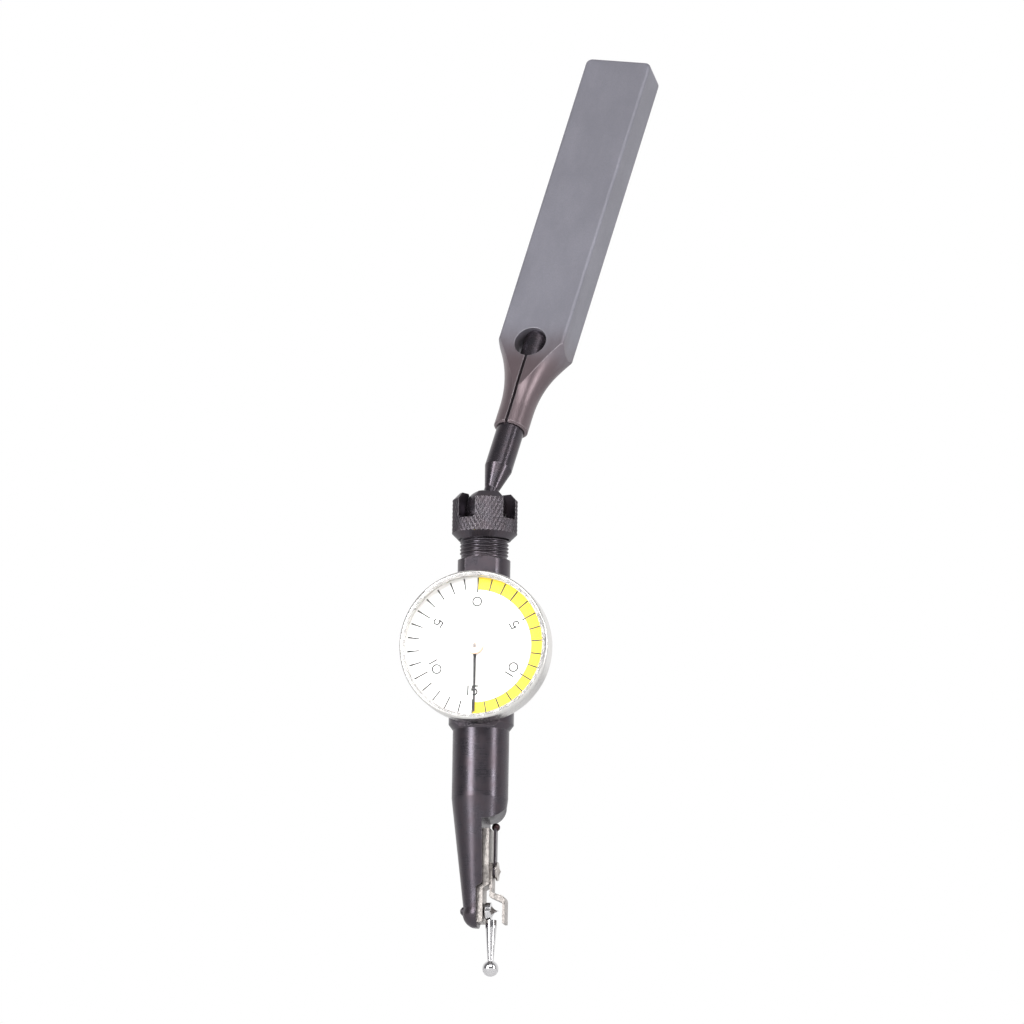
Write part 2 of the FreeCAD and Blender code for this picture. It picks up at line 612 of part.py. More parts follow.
def make_spring_ring():
    """Split ring of square wire that holds the bezel on the case and gives it its drag."""
    body = new_body("SpringRing")
    half = "ringWire / 2"
    turned(body, "XY_Plane", "V_Axis", box_outline(
        "ringRadius - " + half, "-ringPlane - " + half, "ringRadius + " + half, "-ringPlane + " + half))
    doc.recompute()
    gap = new_sketch(body, "RingOpeningOutline", "XZ_Plane")
    draw(gap, box_outline("-ringOpening / 2", "0", "ringOpening / 2", "ringRadius + beyond"))
    pocketed(body, gap, "(ringPlane + beyond) * 2", "RingOpening", both_ways=True)
    finished(body, "bezel_spring_ring", "indicator")


def make_screw(name, place, sizes):
    """Cheese head screw that points into the body. Sizes: shank and head radius, head height, length."""
    across, front, height = place
    radius, head_radius, head_height, length = sizes
    body = new_body(name)
    turned(body, "XY_Plane", "V_Axis", [
        ("0", "-(%s)" % front + " + " + length), (radius, "-(%s)" % front + " + " + length),
        (radius, "-(%s)" % front), (head_radius, "-(%s)" % front),
        (head_radius, "-(%s)" % front + " - " + head_height), ("0", "-(%s)" % front + " - " + head_height)])
    bind(body, Placement__Base__x=across, Placement__Base__z=height)
    return body


def make_screws():
    """Screws of the dial case and of the movement bridge, in two groups."""
    case_sizes = ("screwRadius", "screwHeadRadius", "screwHeadHeight", "screwLength")
    case = [make_screw(name, (across, "dialFlat + caseFloor", height), case_sizes)
            for name, across, height in CASE_SCREWS]
    grouped("CaseScrews", case, "case_screws")
    bridge_sizes = ("bridgeScrewRadius", "bridgeHeadRadius", "bridgeHeadHeight", "bridgeScrewLength")
    bridge = [make_screw(name, (across, "ledgeDepth + bridgeThickness", height), bridge_sizes)
              for name, across, height in BRIDGE_SCREWS]
    grouped("BridgeScrews", bridge, "bridge_screws")


def make_bezel():
    """Turning bezel: a skirt round the case, a shelf for the dial and a lip over the crystal."""
    body = new_body("Bezel")
    skirt = "caseRadius + bezelFit"
    shelf_back = "-(dialBack - dialShelfThickness)"
    groove = ring_groove(skirt, "ringRadius + ringWire / 2 + ringFit")
    turned(body, "XY_Plane", "V_Axis", [
        (skirt, "-bezelBack"),
        *reversed(groove),
        (skirt, shelf_back),
        ("dialShelf", shelf_back),
        ("dialShelf", "-dialBack"),
        ("dialRadius + slip", "-dialBack"),
        ("dialRadius + slip", "-crystalBack"),
        ("crystalRadius + slip", "-crystalBack"),
        ("crystalRadius + slip", "-crystalFront"),
        ("bezelLip", "-crystalFront"),
        ("bezelLip", "-bezelFront"),
        ("bezelRadius - bezelRound", "-bezelFront", "bezelRound"),
        ("bezelRadius", "-bezelFront + bezelRound"),
        ("bezelRadius", "-bezelBack")])
    finished(body, "bezel", "indicator")


def make_crystal_and_dial():
    """The clear disc under the bezel's lip and the printed disc on the bezel's shelf."""
    crystal = new_body("Crystal")
    turned(crystal, "XY_Plane", "V_Axis", box_outline("0", "-crystalFront", "crystalRadius", "-crystalBack"))
    finished(crystal, "crystal", "indicator")
    dial = new_body("Dial")
    turned(dial, "XY_Plane", "V_Axis", box_outline("dialHole", "-dialFront", "dialRadius", "-dialBack"))
    finished(dial, "dial_face", "indicator")


def make_pointer():
    """The hand and the disc that holds it."""
    pointer = new_body("Pointer")
    eye = new_sketch(pointer, "EyeOutline", "XZ_Plane", "pointerBack")
    draw_circle(eye, "0", "0", "pointerEyeRadius")
    draw_circle(eye, "0", "0", "shaftRadius + slip")
    padded(pointer, eye, "pointerThickness", "Eye")
    hand = new_sketch(pointer, "HandOutline", "XZ_Plane", "pointerBack")
    root = "-(shaftRadius + slip + pointerEyeRadius) / 2"
    draw(hand, [("-pointerTipHalf", "-pointerLength"), ("pointerTipHalf", "-pointerLength"),
                ("pointerRootHalf", root), ("-pointerRootHalf", root)])
    padded(pointer, hand, "pointerThickness", "Hand")
    finished(pointer, "pointer", "indicator")
    hub = new_body("PointerHub")
    bore = "shaftRadius + slip"
    turned(hub, "XY_Plane", "V_Axis", [
        (bore, "-pointerFront"), ("pointerHubRadius", "-pointerFront"),
        ("pointerHubRadius", "-hubFront + pointerHubChamfer"),
        ("pointerHubRadius - pointerHubChamfer", "-hubFront"), (bore, "-hubFront")])
    finished(hub, "pointer_hub", "indicator")


# ---------------------------------------------------------------- gear train and contact lever

def tooth_outline(base, top, tip_half):
    """A straight sided tooth that stands up along the second axis, from inside its root."""
    right = [("toothModule * rootHalf", "%s - toothModule * 0.15" % base),
             ("toothModule * pitchHalf", "%s + toothModule * dedendum" % base),
             ("toothModule * %s" % tip_half, top)]
    left = [("-" + half, rise) for half, rise in reversed(right)]
    return right + left


def cut_pinion(body, plane, start, length, axis_role):
    """Teeth of a small pinion round one of the body's axes."""
    outline = tooth_outline("pinionRoot", "pinionRadius + toothModule * addendum", "tipHalf")
    leaf = padded(body, draw(new_sketch(body, "ToothOutline", plane, start), outline), length, "Leaf")
    doc.recompute()
    repeated(body, leaf, axis_role, "pinionTeeth")


def make_arbor():
    """Upright arbor of the pointer with the centre pinion that the crown wheel drives."""
    body = new_body("Arbor")
    tail = "-ledgeDepth - slip * 5"
    pinion_back = "crownRadius - arborPinionLength / 2"
    pinion_end = "-crownRadius - arborPinionLength / 2 - slip * 5"
    turned(body, "XY_Plane", "V_Axis", [
        ("0", tail),
        ("arborPivotRadius", tail),
        ("arborPivotRadius", tail + " - arborPivotLength"),
        ("pinionRoot", tail + " - arborPivotLength"),
        ("pinionRoot", pinion_end),
        ("shaftRadius", pinion_end),
        ("shaftRadius", "-arborTip + arborTipChamfer"),
        ("shaftRadius - arborTipChamfer", "-arborTip"),
        ("0", "-arborTip")])
    doc.recompute()
    cut_pinion(body, "XZ_Plane", pinion_back, "arborPinionLength", "Y_Axis")
    finished(body, "pointer_arbor", "indicator")


def make_bridge():
    """Strip across the pocket that carries the arbor's rear pivot, and the arbor's front bush."""
    body = new_body("Bridge")
    foot = "ledgeBottom + bridgeFit"
    head = "ledgeTop - bridgeFit"
    sketch = new_sketch(body, "StripOutline", "XZ_Plane", "ledgeDepth")
    draw(sketch, [("-bridgeWaist", "pocketBottom"), ("slotRight + bridgeFit * 2", foot),
                  ("bridgeFootReach", foot), ("bridgeFootReach", "pocketBottom - bridgeFlare"),
                  ("bridgeWaist", "pocketBottom + bridgeFlare"), ("bridgeWaist", "pocketTop"),
                  ("bridgeTopReach", "pocketTop + bridgeFlare"), ("bridgeTopReach", head),
                  ("-bridgeTopReach", head), ("-bridgeTopReach", "pocketTop + bridgeFlare"),
                  ("-bridgeWaist", "pocketTop")])
    draw_circle(sketch, "0", "0", "arborPivotRadius + shaftFit")
    for name, across, height in BRIDGE_SCREWS:
        draw_circle(sketch, across, height, "bridgeScrewRadius + slip * 2")
    padded(body, sketch, "bridgeThickness", "Strip")
    finished(body, "movement_bridge", "indicator")
    bush = new_body("ArborBush")
    turned(bush, "XY_Plane", "V_Axis", box_outline(
        "shaftRadius + shaftFit", "-dialFlat - caseFloor - frontBushRise", "bushRadius",
        "-dialFlat + bushInset"))
    finished(bush, "arbor_bush", "indicator")


def make_cross_shaft():
    """Cross shaft with the pinion that the sector drives, and its two bushes."""
    body = new_body("CrossShaft")
    left = "leverMiddle - pinionLength / 2"
    right = "leverMiddle + pinionLength / 2"
    turned(body, "XY_Plane", "H_Axis", [
        ("-shaftReach", "0"), ("shaftReach", "0"), ("shaftReach", "shaftRadius"), (right, "shaftRadius"),
        (right, "pinionRoot"), (left, "pinionRoot"), (left, "shaftRadius"), ("-shaftReach", "shaftRadius")])
    doc.recompute()
    cut_pinion(body, "YZ_Plane", left, "pinionLength", "X_Axis")
    # a gap of the pinion faces the sector when the lever stands in the middle of its travel
    phase = size("180 / pinionTeeth - contactSweep / 2 * sectorRatio")
    finished(body, "cross_shaft", ("indicator", phase))
    bushes = []
    for name, side in (("LeftBush", "-"), ("RightBush", "")):
        bush = new_body(name)
        turned(bush, "XY_Plane", "H_Axis", box_outline(
            side + "bushStart", "shaftRadius + shaftFit", side + "bushReach", "bushRadius"))
        bushes.append(bush)
    grouped("Bushes", bushes, "cross_shaft_bushes")


def make_crown_wheel():
    """Contrate wheel: its teeth stand along the cross shaft and turn the centre pinion."""
    body = new_body("CrownWheel")
    back = "crownRoot + crownThickness"
    inner = "crownRadius - crownFace / 2"
    outer = "crownRadius + crownFace / 2"
    turned(body, "XY_Plane", "H_Axis", [
        ("crownRoot", "shaftRadius + slip"),
        (back + " + crownHubStep", "shaftRadius + slip"),
        (back + " + crownHubStep", "shaftRadius + crownHubWall"),
        (back, "shaftRadius + crownHubWall"),
        (back, outer),
        ("crownRoot", outer)])
    doc.recompute()
    sketch = new_sketch(body, "ToothOutline", "YZ_Plane", "pinionRadius - toothModule * addendum")
    narrow = "toothModule * (pitchHalf - 0.08)"
    wide = "toothModule * (pitchHalf - 0.02)"
    draw(sketch, [(narrow, inner), (wide, outer + " - slip"), ("-" + wide, outer + " - slip"),
                  ("-" + narrow, inner)])
    cog = padded(body, sketch, "crownRoot - pinionRadius + toothModule * (addendum + 0.05)", "Cog")
    doc.recompute()
    repeated(body, cog, "X_Axis", "crownTeeth")
    # a gap between two teeth faces the dial, where the centre pinion has a tooth
    finished(body, "crown_wheel", ("indicator", 90 + size("180 / crownTeeth")))


def make_sector_lever():
    """Long lever inside the body, with a toothed sector that drives the cross shaft."""
    body = new_body("SectorLever")
    head = "(toothModule * pi * sectorTeeth / 2 + bridgeFit)"
    shoulder = "sectorRoot - headDepth"
    eye = draw_circle(new_sketch(body, "EyeOutline", "YZ_Plane", "leverBack"), "0", "0", "eyeRadius")
    padded(body, eye, "leverThickness", "Eye")
    arm = new_sketch(body, "ArmOutline", "YZ_Plane", "leverBack")
    rim = "sqrt(sectorRoot ^ 2 - %s ^ 2)" % head
    draw(arm, [("-eyeRadius * 0.8", "0"), ("eyeRadius * 0.8", "0"),
               ("armHalfWidth", "sectorRoot - armFlare"), (head, shoulder), (head, rim, "sectorRoot"),
               ("-" + head, rim), ("-" + head, shoulder), ("-armHalfWidth", "sectorRoot - armFlare")])
    padded(body, arm, "leverThickness", "Arm")
    doc.recompute()
    holed(body, "ShaftHole", "YZ_Plane", "0", "0", "pivotRadius + slip", "leverBack - beyond",
          "leverThickness + beyond * 2")
    doc.recompute()
    tooth = new_sketch(body, "ToothOutline", "YZ_Plane", "leverBack")
    outline = tooth_outline("sectorRoot", "sectorRadius + toothModule * addendum", "(tipHalf + 0.02)")
    cog = padded(body, draw(tooth, outline), "leverThickness", "Cog")
    doc.recompute()
    side_angle = "(sectorTeeth - 1) / 2 * 180 * toothModule / sectorRadius"
    half_count = "(sectorTeeth + 1) / 2"
    repeated(body, cog, "X_Axis", half_count, side_angle, "TeethBack")
    doc.recompute()
    repeated(body, cog, "X_Axis", half_count, side_angle, "TeethFront").Reversed = True
    finished(body, "sector_lever", ("pivot", size("contactSweep / 2")))


def make_pivot_shaft():
    """Shaft that carries the lever inside the nose and the contact's hub outside it."""
    body = new_body("PivotShaft")
    seat = "-pivotSeat - pivotFit"
    crown = "-pivotHeadReach"
    turned(body, "XY_Plane", "H_Axis", [
        (crown, "0"), ("hubMiddle", "0"), ("hubMiddle", "pivotRadius"), (seat, "pivotRadius"),
        (seat, "pivotHeadRadius"), (crown + " + pivotHeadHeight / 3", "pivotHeadRadius"),
        (crown, "pivotHeadRadius / 2")])
    finished(body, "pivot_shaft", "pivot")


def make_contact():
    """Hub, tapered stem and ball of the swivelling contact."""
    hub = new_body("ContactHub")
    bore = "pivotRadius + slip"
    bore_end = "hubMiddle + slip * 5"
    turned(hub, "XY_Plane", "H_Axis", [
        ("hubStart", bore), (bore_end, bore), (bore_end, "0"), ("hubEnd", "0", "-hubRadius * 1.05"),
        ("hubMiddle", "hubRadius"), ("hubStart + hubChamfer", "hubRadius"),
        ("hubStart", "hubRadius - hubChamfer")])
    finished(hub, "contact_hub", "pivot")
    stem = new_body("ContactStem")
    top = "-hubRadius - slip * 5"
    turned(stem, "XZ_Plane", "V_Axis", [
        ("0", "stemBottom"), ("stemBottomRadius", "stemBottom"), ("stemTopRadius", top + " - stemCollar"),
        ("stemTopRadius", top), ("0", top)], across="stemAcross")
    finished(stem, "contact_stem", "pivot")
    ball = primitive("Sphere", "ContactBall", Radius="contactBallRadius")
    socket = primitive("Cylinder", "StemSocket", Radius="stemBottomRadius + slip", Height="contactBallRadius")
    bind(ball, Placement__Base__x="stemAcross", Placement__Base__z="-contactLength")
    bind(socket, Placement__Base__x="stemAcross", Placement__Base__z="stemBottom - slip")
    finished(cut("DrilledBall", ball, socket), "contact_ball", "pivot")


# ---------------------------------------------------------------- nose plate, guard, reversing lever

def make_nose_plate():
    """Joggled plate that covers the milled side, down to the contact's pivot."""
    body = new_body("NosePlate")
    sketch = new_sketch(body, "PlateSection", "XZ_Plane")
    low = "flatStep - stepRun - plateFit"
    draw(sketch, [("sideFlat", "plateTop"), ("sideFlat", "flatStep - plateFit"),
                  ("lowerFlat", low), ("lowerFlat", "plateBottom"), ("lowerFace", "plateBottom"),
                  ("lowerFace", low + " - plateStepShift"), ("legFace", "flatStep - plateFit - plateStepShift"),
                  ("legFace", "plateTop")])
    padded(body, sketch, "plateHalfWidth * 2", "Plate", both_ways=True)
    doc.recompute()
    trim = new_sketch(body, "LowerTrimOutline", "YZ_Plane", "lowerFlat - beyond")
    for side in ("", "-"):
        wide = side + "(plateHalfWidth + beyond)"
        draw(trim, [(side + "plateLowerHalf", "plateBottom - beyond"), (wide, "plateBottom - beyond"),
                    (wide, "flatStep + plateTrimRise"), (side + "plateHalfWidth", "flatStep + plateTrimRise"),
                    (side + "plateLowerHalf", "flatStep")])
    pocketed(body, trim, "barrelRadius", "LowerTrim")
    holed(body, "PivotClearance", "YZ_Plane", "0", "pivotHeight", "pivotRadius + pivotFit * 2",
          "lowerFlat - beyond", "barrelRadius")
    holed(body, "ScrewClearance", "YZ_Plane", "0", "screwHeight", "leverScrewRadius + pivotFit",
          "lowerFlat", "barrelRadius")
    finished(body, "nose_plate", "indicator")


def make_guard():
    """Bent guard: a leg under the screw, a shoulder over the contact's hub and a skirt down its side."""
    body = new_body("Guard")
    inner = "guardReach - guardThickness"
    top = "screwHeight + guardLegRise"
    sketch = new_sketch(body, "GuardSection", "XZ_Plane")
    draw(sketch, [
        ("legFace", top),
        ("legFace", "guardShoulder"),
        (inner + " - guardBend", "guardShoulder - guardBend", "-guardBend"),
        (inner, "guardShoulder - guardBend * 2"),
        (inner, "guardBottom"),
        ("guardReach", "guardBottom"),
        ("guardReach", "guardShoulder - guardBend", "guardBend + guardThickness"),
        (inner + " - guardBend", "guardShoulder + guardThickness * 0.8"),
        ("legFace + guardThickness", "guardShoulder + guardBend"),
        ("legFace + guardThickness", top)])
    padded(body, sketch, "guardHalfWidth * 2", "Bracket", both_ways=True)
    doc.recompute()
    holed(body, "ScrewClearance", "YZ_Plane", "0", "screwHeight", "leverScrewRadius + pivotFit",
          "sideFlat", "plateThickness + guardThickness * 2")
    finished(body, "contact_guard", "indicator")


def make_reverser():
    """Reversing lever that turns on the shouldered screw, and its knob."""
    body = new_body("Reverser")
    eye = new_sketch(body, "EyeOutline", "YZ_Plane", "leverFace")
    draw_circle(eye, "0", "screwHeight", "reverserHalfWidth + reverserEyeWall")
    padded(body, eye, "reverserThickness", "Eye")
    strip = new_sketch(body, "StripOutline", "YZ_Plane", "leverFace")
    draw(strip, box_outline("-reverserHalfWidth", "screwHeight", "reverserHalfWidth",
                            "knobHeight - knobSeat - slip"))
    padded(body, strip, "reverserThickness", "Strip")
    doc.recompute()
    holed(body, "ScrewHole", "YZ_Plane", "0", "screwHeight", "leverScrewRadius + pivotFit",
          "leverFace - beyond", "reverserThickness + beyond * 2")
    finished(body, "reversing_lever", "indicator")
    ball = primitive("Sphere", "KnobBall", Radius="knobRadius")
    bind(ball, Placement__Base__x="leverFace + reverserThickness / 2", Placement__Base__z="knobHeight")
    seat = primitive("Box", "KnobSeat", Length="reverserThickness + slip * 2", Width="knobRadius * 4",
                     Height="knobRadius")
    bind(seat, Placement__Base__x="leverFace - slip", Placement__Base__y="-knobRadius * 2",
         Placement__Base__z="knobHeight - knobRadius - knobSeat")
    finished(cut("Knob", ball, seat), "reversing_knob", "indicator")


def make_lever_screw():
    """Shouldered screw with a domed head that holds plate, guard and reversing lever."""
    body = new_body("LeverScrew")
    tip = "slotRight + leverScrewSink"
    turned(body, "XY_Plane", "H_Axis", [
        (tip, "0"), ("headFace + leverHeadHeight", "0", "-leverHeadRadius * 2.2"),
        ("headFace + leverHeadEdge", "leverHeadRadius"), ("headFace", "leverHeadRadius"),
        ("headFace", "leverScrewRadius"), (tip, "leverScrewRadius")])
    bind(body, Placement__Base__z="screwHeight")
    group = doc.addObject("Part::Compound", "ReversingScrew")
    group.Links = [body]
    finished(group, "reversing_lever_screw", "indicator")


# ---------------------------------------------------------------- placing and writing

def frames():
    """Placements of the local frames in the row's frame."""
    lean_way = math.radians(size("leanAzimuth"))
    toward = FreeCAD.Vector(math.sin(lean_way), -math.cos(lean_way), 0)
    upward = FreeCAD.Vector(0, 0, 1)
    lean = FreeCAD.Rotation(upward.cross(toward), size("leanAngle"))
    twist = FreeCAD.Rotation(upward, size("twistAngle"))
    holder = FreeCAD.Placement(FreeCAD.Vector(0, 0, size("ballHeight")), lean.multiply(twist))
    face = FreeCAD.Vector(0, size("-shankThickness / 2"), size("mountHeight"))
    shift = FreeCAD.Placement(holder.multVec(face).negative(), FreeCAD.Rotation())
    slots = FreeCAD.Rotation(upward, size("leanAzimuth"))
    pivot = FreeCAD.Vector(0, 0, size("pivotHeight"))
    return {
        "holder": shift.multiply(holder),
        "indicator": shift,
        "nut": shift.multiply(FreeCAD.Placement(FreeCAD.Vector(), slots)),
        "pivot": shift.multiply(FreeCAD.Placement(pivot, FreeCAD.Rotation())),
    }


def place_all():
    """Puts each sub-part in the row's frame. A frame with an angle is first turned about its X."""
    placements = frames()
    for thing, label, frame in parts:
        if isinstance(frame, tuple):
            name, angle = frame
            turn = FreeCAD.Rotation(FreeCAD.Vector(1, 0, 0), angle)
            thing.Placement = placements[name].multiply(FreeCAD.Placement(FreeCAD.Vector(), turn))
        else:
            thing.Placement = placements[frame].multiply(thing.Placement)


def check_document():
    """Stops on a failed object, a cut that takes nothing away, or a sub-part with no valid shape."""
    failed = [thing.Name for thing in doc.Objects if "Invalid" in thing.State or "Error" in thing.State]
    if failed:
        raise RuntimeError("failed: " + ", ".join(failed))
    for thing in doc.Objects:
        if thing.TypeId in ("PartDesign::Pocket", "PartDesign::Groove"):
            if thing.Shape.Volume > thing.BaseFeature.Shape.Volume - 1e-6:
                raise RuntimeError("%s cuts nothing" % thing.Name)
    for thing, label, frame in parts:
        if thing.Shape.isNull() or not thing.Shape.isValid():
            raise RuntimeError("%s has no valid shape" % label)


make_shank()
make_rod()
make_nut()
make_ball_seat()
make_body()
make_case()
make_spring_ring()
make_screws()
make_bezel()
make_crystal_and_dial()
make_pointer()
make_arbor()
make_bridge()
make_cross_shaft()
make_crown_wheel()
make_sector_lever()
make_pivot_shaft()
make_contact()
make_nose_plate()
make_guard()
make_reverser()
make_lever_screw()
doc.recompute()
place_all()
doc.recompute()
check_document()

os.makedirs("parts", exist_ok=True)
for thing, label, frame in parts:
    thing.Shape.exportStep("parts/%s.step" % label)
    print("%-24s solids %d volume %9.3f" % (label, len(thing.Shape.Solids), thing.Shape.Volume))
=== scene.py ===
import json
import math

import bmesh
import bpy
from bpy.props import FloatProperty, FloatVectorProperty, IntProperty, PointerProperty
from mathutils import Matrix, Vector


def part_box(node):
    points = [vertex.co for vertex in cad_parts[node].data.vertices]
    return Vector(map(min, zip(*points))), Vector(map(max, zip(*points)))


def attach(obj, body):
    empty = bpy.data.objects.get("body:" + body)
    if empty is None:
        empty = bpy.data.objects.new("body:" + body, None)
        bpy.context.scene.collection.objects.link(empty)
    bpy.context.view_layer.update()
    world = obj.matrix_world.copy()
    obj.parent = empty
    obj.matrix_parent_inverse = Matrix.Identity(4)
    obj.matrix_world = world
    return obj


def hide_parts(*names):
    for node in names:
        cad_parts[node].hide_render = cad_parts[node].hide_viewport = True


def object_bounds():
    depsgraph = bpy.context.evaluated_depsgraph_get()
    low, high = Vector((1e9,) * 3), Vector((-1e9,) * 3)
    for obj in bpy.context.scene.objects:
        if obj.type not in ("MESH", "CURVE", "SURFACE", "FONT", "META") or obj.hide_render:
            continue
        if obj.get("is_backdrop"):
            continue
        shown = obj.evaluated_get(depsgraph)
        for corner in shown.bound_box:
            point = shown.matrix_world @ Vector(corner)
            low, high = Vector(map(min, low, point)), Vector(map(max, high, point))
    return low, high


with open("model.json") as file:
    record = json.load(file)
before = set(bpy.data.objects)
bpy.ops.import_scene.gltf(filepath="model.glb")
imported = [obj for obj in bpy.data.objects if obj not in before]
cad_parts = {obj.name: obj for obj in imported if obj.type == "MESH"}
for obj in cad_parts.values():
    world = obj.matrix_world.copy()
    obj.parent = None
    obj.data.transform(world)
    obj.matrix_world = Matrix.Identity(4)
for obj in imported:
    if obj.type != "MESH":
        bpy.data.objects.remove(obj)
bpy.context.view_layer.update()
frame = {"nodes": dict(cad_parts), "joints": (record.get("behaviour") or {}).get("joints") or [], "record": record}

bl_info = {
    "name": "Dial Test Indicator",
    "version": (1, 0, 0),
    "blender": (4, 5, 0),
    "location": "3D View > Sidebar > Indicator",
    "description": "Dresses a lever type dial test indicator with its finishes, knurl, thread and dial",
    "category": "Object",
}

MM = 0.001
JOINTS = {joint["name"]: joint for joint in frame["joints"]}


def linear(red, green, blue):
    """A display colour of 0 to 255 as linear light."""
    def channel(value):
        share = value / 255
        return share / 12.92 if share <= 0.04045 else ((share + 0.055) / 1.055) ** 2.4

    return tuple(channel(value) for value in (red, green, blue))


def middle(node):
    low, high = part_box(node)
    return (low + high) / 2


def joint_place(name):
    return Vector(JOINTS[name]["pos_m"])


def joint_axis(name):
    return Vector(JOINTS[name]["axis"]).normalized()


# Places that the CAD model gives: the ball, the two main axes, the dial and the contact's pivot.
BALL = joint_place("ball_swing")
ROD_AXIS = joint_axis("rod_turn")
DIAL = joint_place("bezel_turn")
PIVOT = joint_place("contact_swivel")
SHANK_FACE = Vector(frame["record"]["mounts"][0]["axis"]).normalized()
UP = Vector((0, 0, 1))
FRONT = Vector((0, -1, 0))
RIGHT = Vector((1, 0, 0))


# ---------------------------------------------------------------- properties

class FinishSettings(bpy.types.PropertyGroup):
    """Colours of the finishes."""
    blued: FloatVectorProperty(name="Black oxide", description="Body, rod and nut", subtype="COLOR",
                               default=linear(78, 74, 80), min=0, max=1)
    shank: FloatVectorProperty(name="Shank steel", description="Ground and lightly blued bar",
                               subtype="COLOR", default=linear(140, 139, 148), min=0, max=1)
    collet: FloatVectorProperty(name="Collet tint", description="Browned end of the shank",
                                subtype="COLOR", default=linear(104, 88, 90), min=0, max=1)
    nickel: FloatVectorProperty(name="Nickel", description="Bezel and dial case", subtype="COLOR",
                                default=linear(222, 220, 217), min=0, max=1)
    bright: FloatVectorProperty(name="Bright steel", description="Plate, guard and screws",
                                subtype="COLOR", default=linear(176, 170, 166), min=0, max=1)
    chrome: FloatVectorProperty(name="Chrome", description="Contact", subtype="COLOR",
                                default=linear(214, 213, 214), min=0, max=1)
    brass: FloatVectorProperty(name="Brass", description="Gears, bushes and bridge", subtype="COLOR",
                               default=linear(212, 176, 104), min=0, max=1)
    enamel: FloatVectorProperty(name="Dial white", description="Enamel of the dial", subtype="COLOR",
                                default=linear(243, 241, 238), min=0, max=1)
    band: FloatVectorProperty(name="Band yellow", description="Printed half ring", subtype="COLOR",
                              default=linear(247, 214, 30), min=0, max=1)
    ink: FloatVectorProperty(name="Ink", description="Printed lines and numbers", subtype="COLOR",
                             default=linear(40, 38, 38), min=0, max=1)
    copper: FloatVectorProperty(name="Copper wash", description="Disc that holds the hand",
                                subtype="COLOR", default=linear(232, 196, 170), min=0, max=1)


class NutSettings(bpy.types.PropertyGroup):
    """Sizes of the knurled clamp nut and of the thread below it."""
    diamonds: IntProperty(name="Diamonds", description="Knurl diamonds round the nut", default=46, min=8)
    knurl_rise: FloatProperty(name="Diamond height", description="Length of a diamond along the nut",
                              default=1.2 * MM, unit="LENGTH")
    knurl_depth: FloatProperty(name="Knurl depth", description="Depth of the knurl's grooves",
                               default=0.17 * MM, unit="LENGTH")
    chamfer: FloatProperty(name="Chamfer", description="Chamfer at both ends", default=1.15 * MM,
                           unit="LENGTH")
    rim: FloatProperty(name="Rim width", description="Width of the upper chamfer across the nut",
                       default=1.1 * MM, unit="LENGTH")
    slot_width: FloatProperty(name="Slot width", description="Width of the two crossed slots",
                              default=3.4 * MM, unit="LENGTH")
    slot_depth: FloatProperty(name="Slot depth", description="Depth of the slots below the ball's centre",
                              default=1.8 * MM, unit="LENGTH")
    mouth: FloatProperty(name="Mouth", description="Radius of the hole over the ball", default=2.75 * MM,
                         unit="LENGTH")
    slot_corner: FloatProperty(name="Slot corner", description="Rounding in the slots' corners",
                               default=0.5 * MM, unit="LENGTH")
    bore_end: FloatProperty(name="Threaded length", description="Height of the nut's threaded hole",
                            default=2.3 * MM, unit="LENGTH")
    bore_edge: FloatProperty(name="Bore edge", description="Small chamfer at the threaded hole",
                             default=0.25 * MM, unit="LENGTH")
    mouth_edge: FloatProperty(name="Mouth edge", description="Small chamfer at the mouth",
                              default=0.2 * MM, unit="LENGTH")
    relief: FloatProperty(name="Relief", description="Step between the threaded hole and the seat",
                          default=0.3 * MM, unit="LENGTH")
    thread_fit: FloatProperty(name="Thread fit", description="Clearance over the thread",
                              default=0.05 * MM, unit="LENGTH")
    thread_overlap: FloatProperty(name="Thread overlap", description="How far the ridge runs into the nut",
                                  default=0.5 * MM, unit="LENGTH")
    thread_length: FloatProperty(name="Thread length", description="Length of the ridge on the neck",
                                 default=3.6 * MM, unit="LENGTH")
    seat: FloatProperty(name="Ball seat", description="Radius of the seat round the ball",
                        default=3.61 * MM, unit="LENGTH")
    thread_root: FloatProperty(name="Thread root", description="Radius at the bottom of the thread",
                               default=3.85 * MM, unit="LENGTH")
    thread_crest: FloatProperty(name="Thread crest", description="Radius over the thread",
                                default=4.12 * MM, unit="LENGTH")
    thread_pitch: FloatProperty(name="Thread pitch", description="Rise of one turn", default=0.62 * MM,
                                unit="LENGTH")


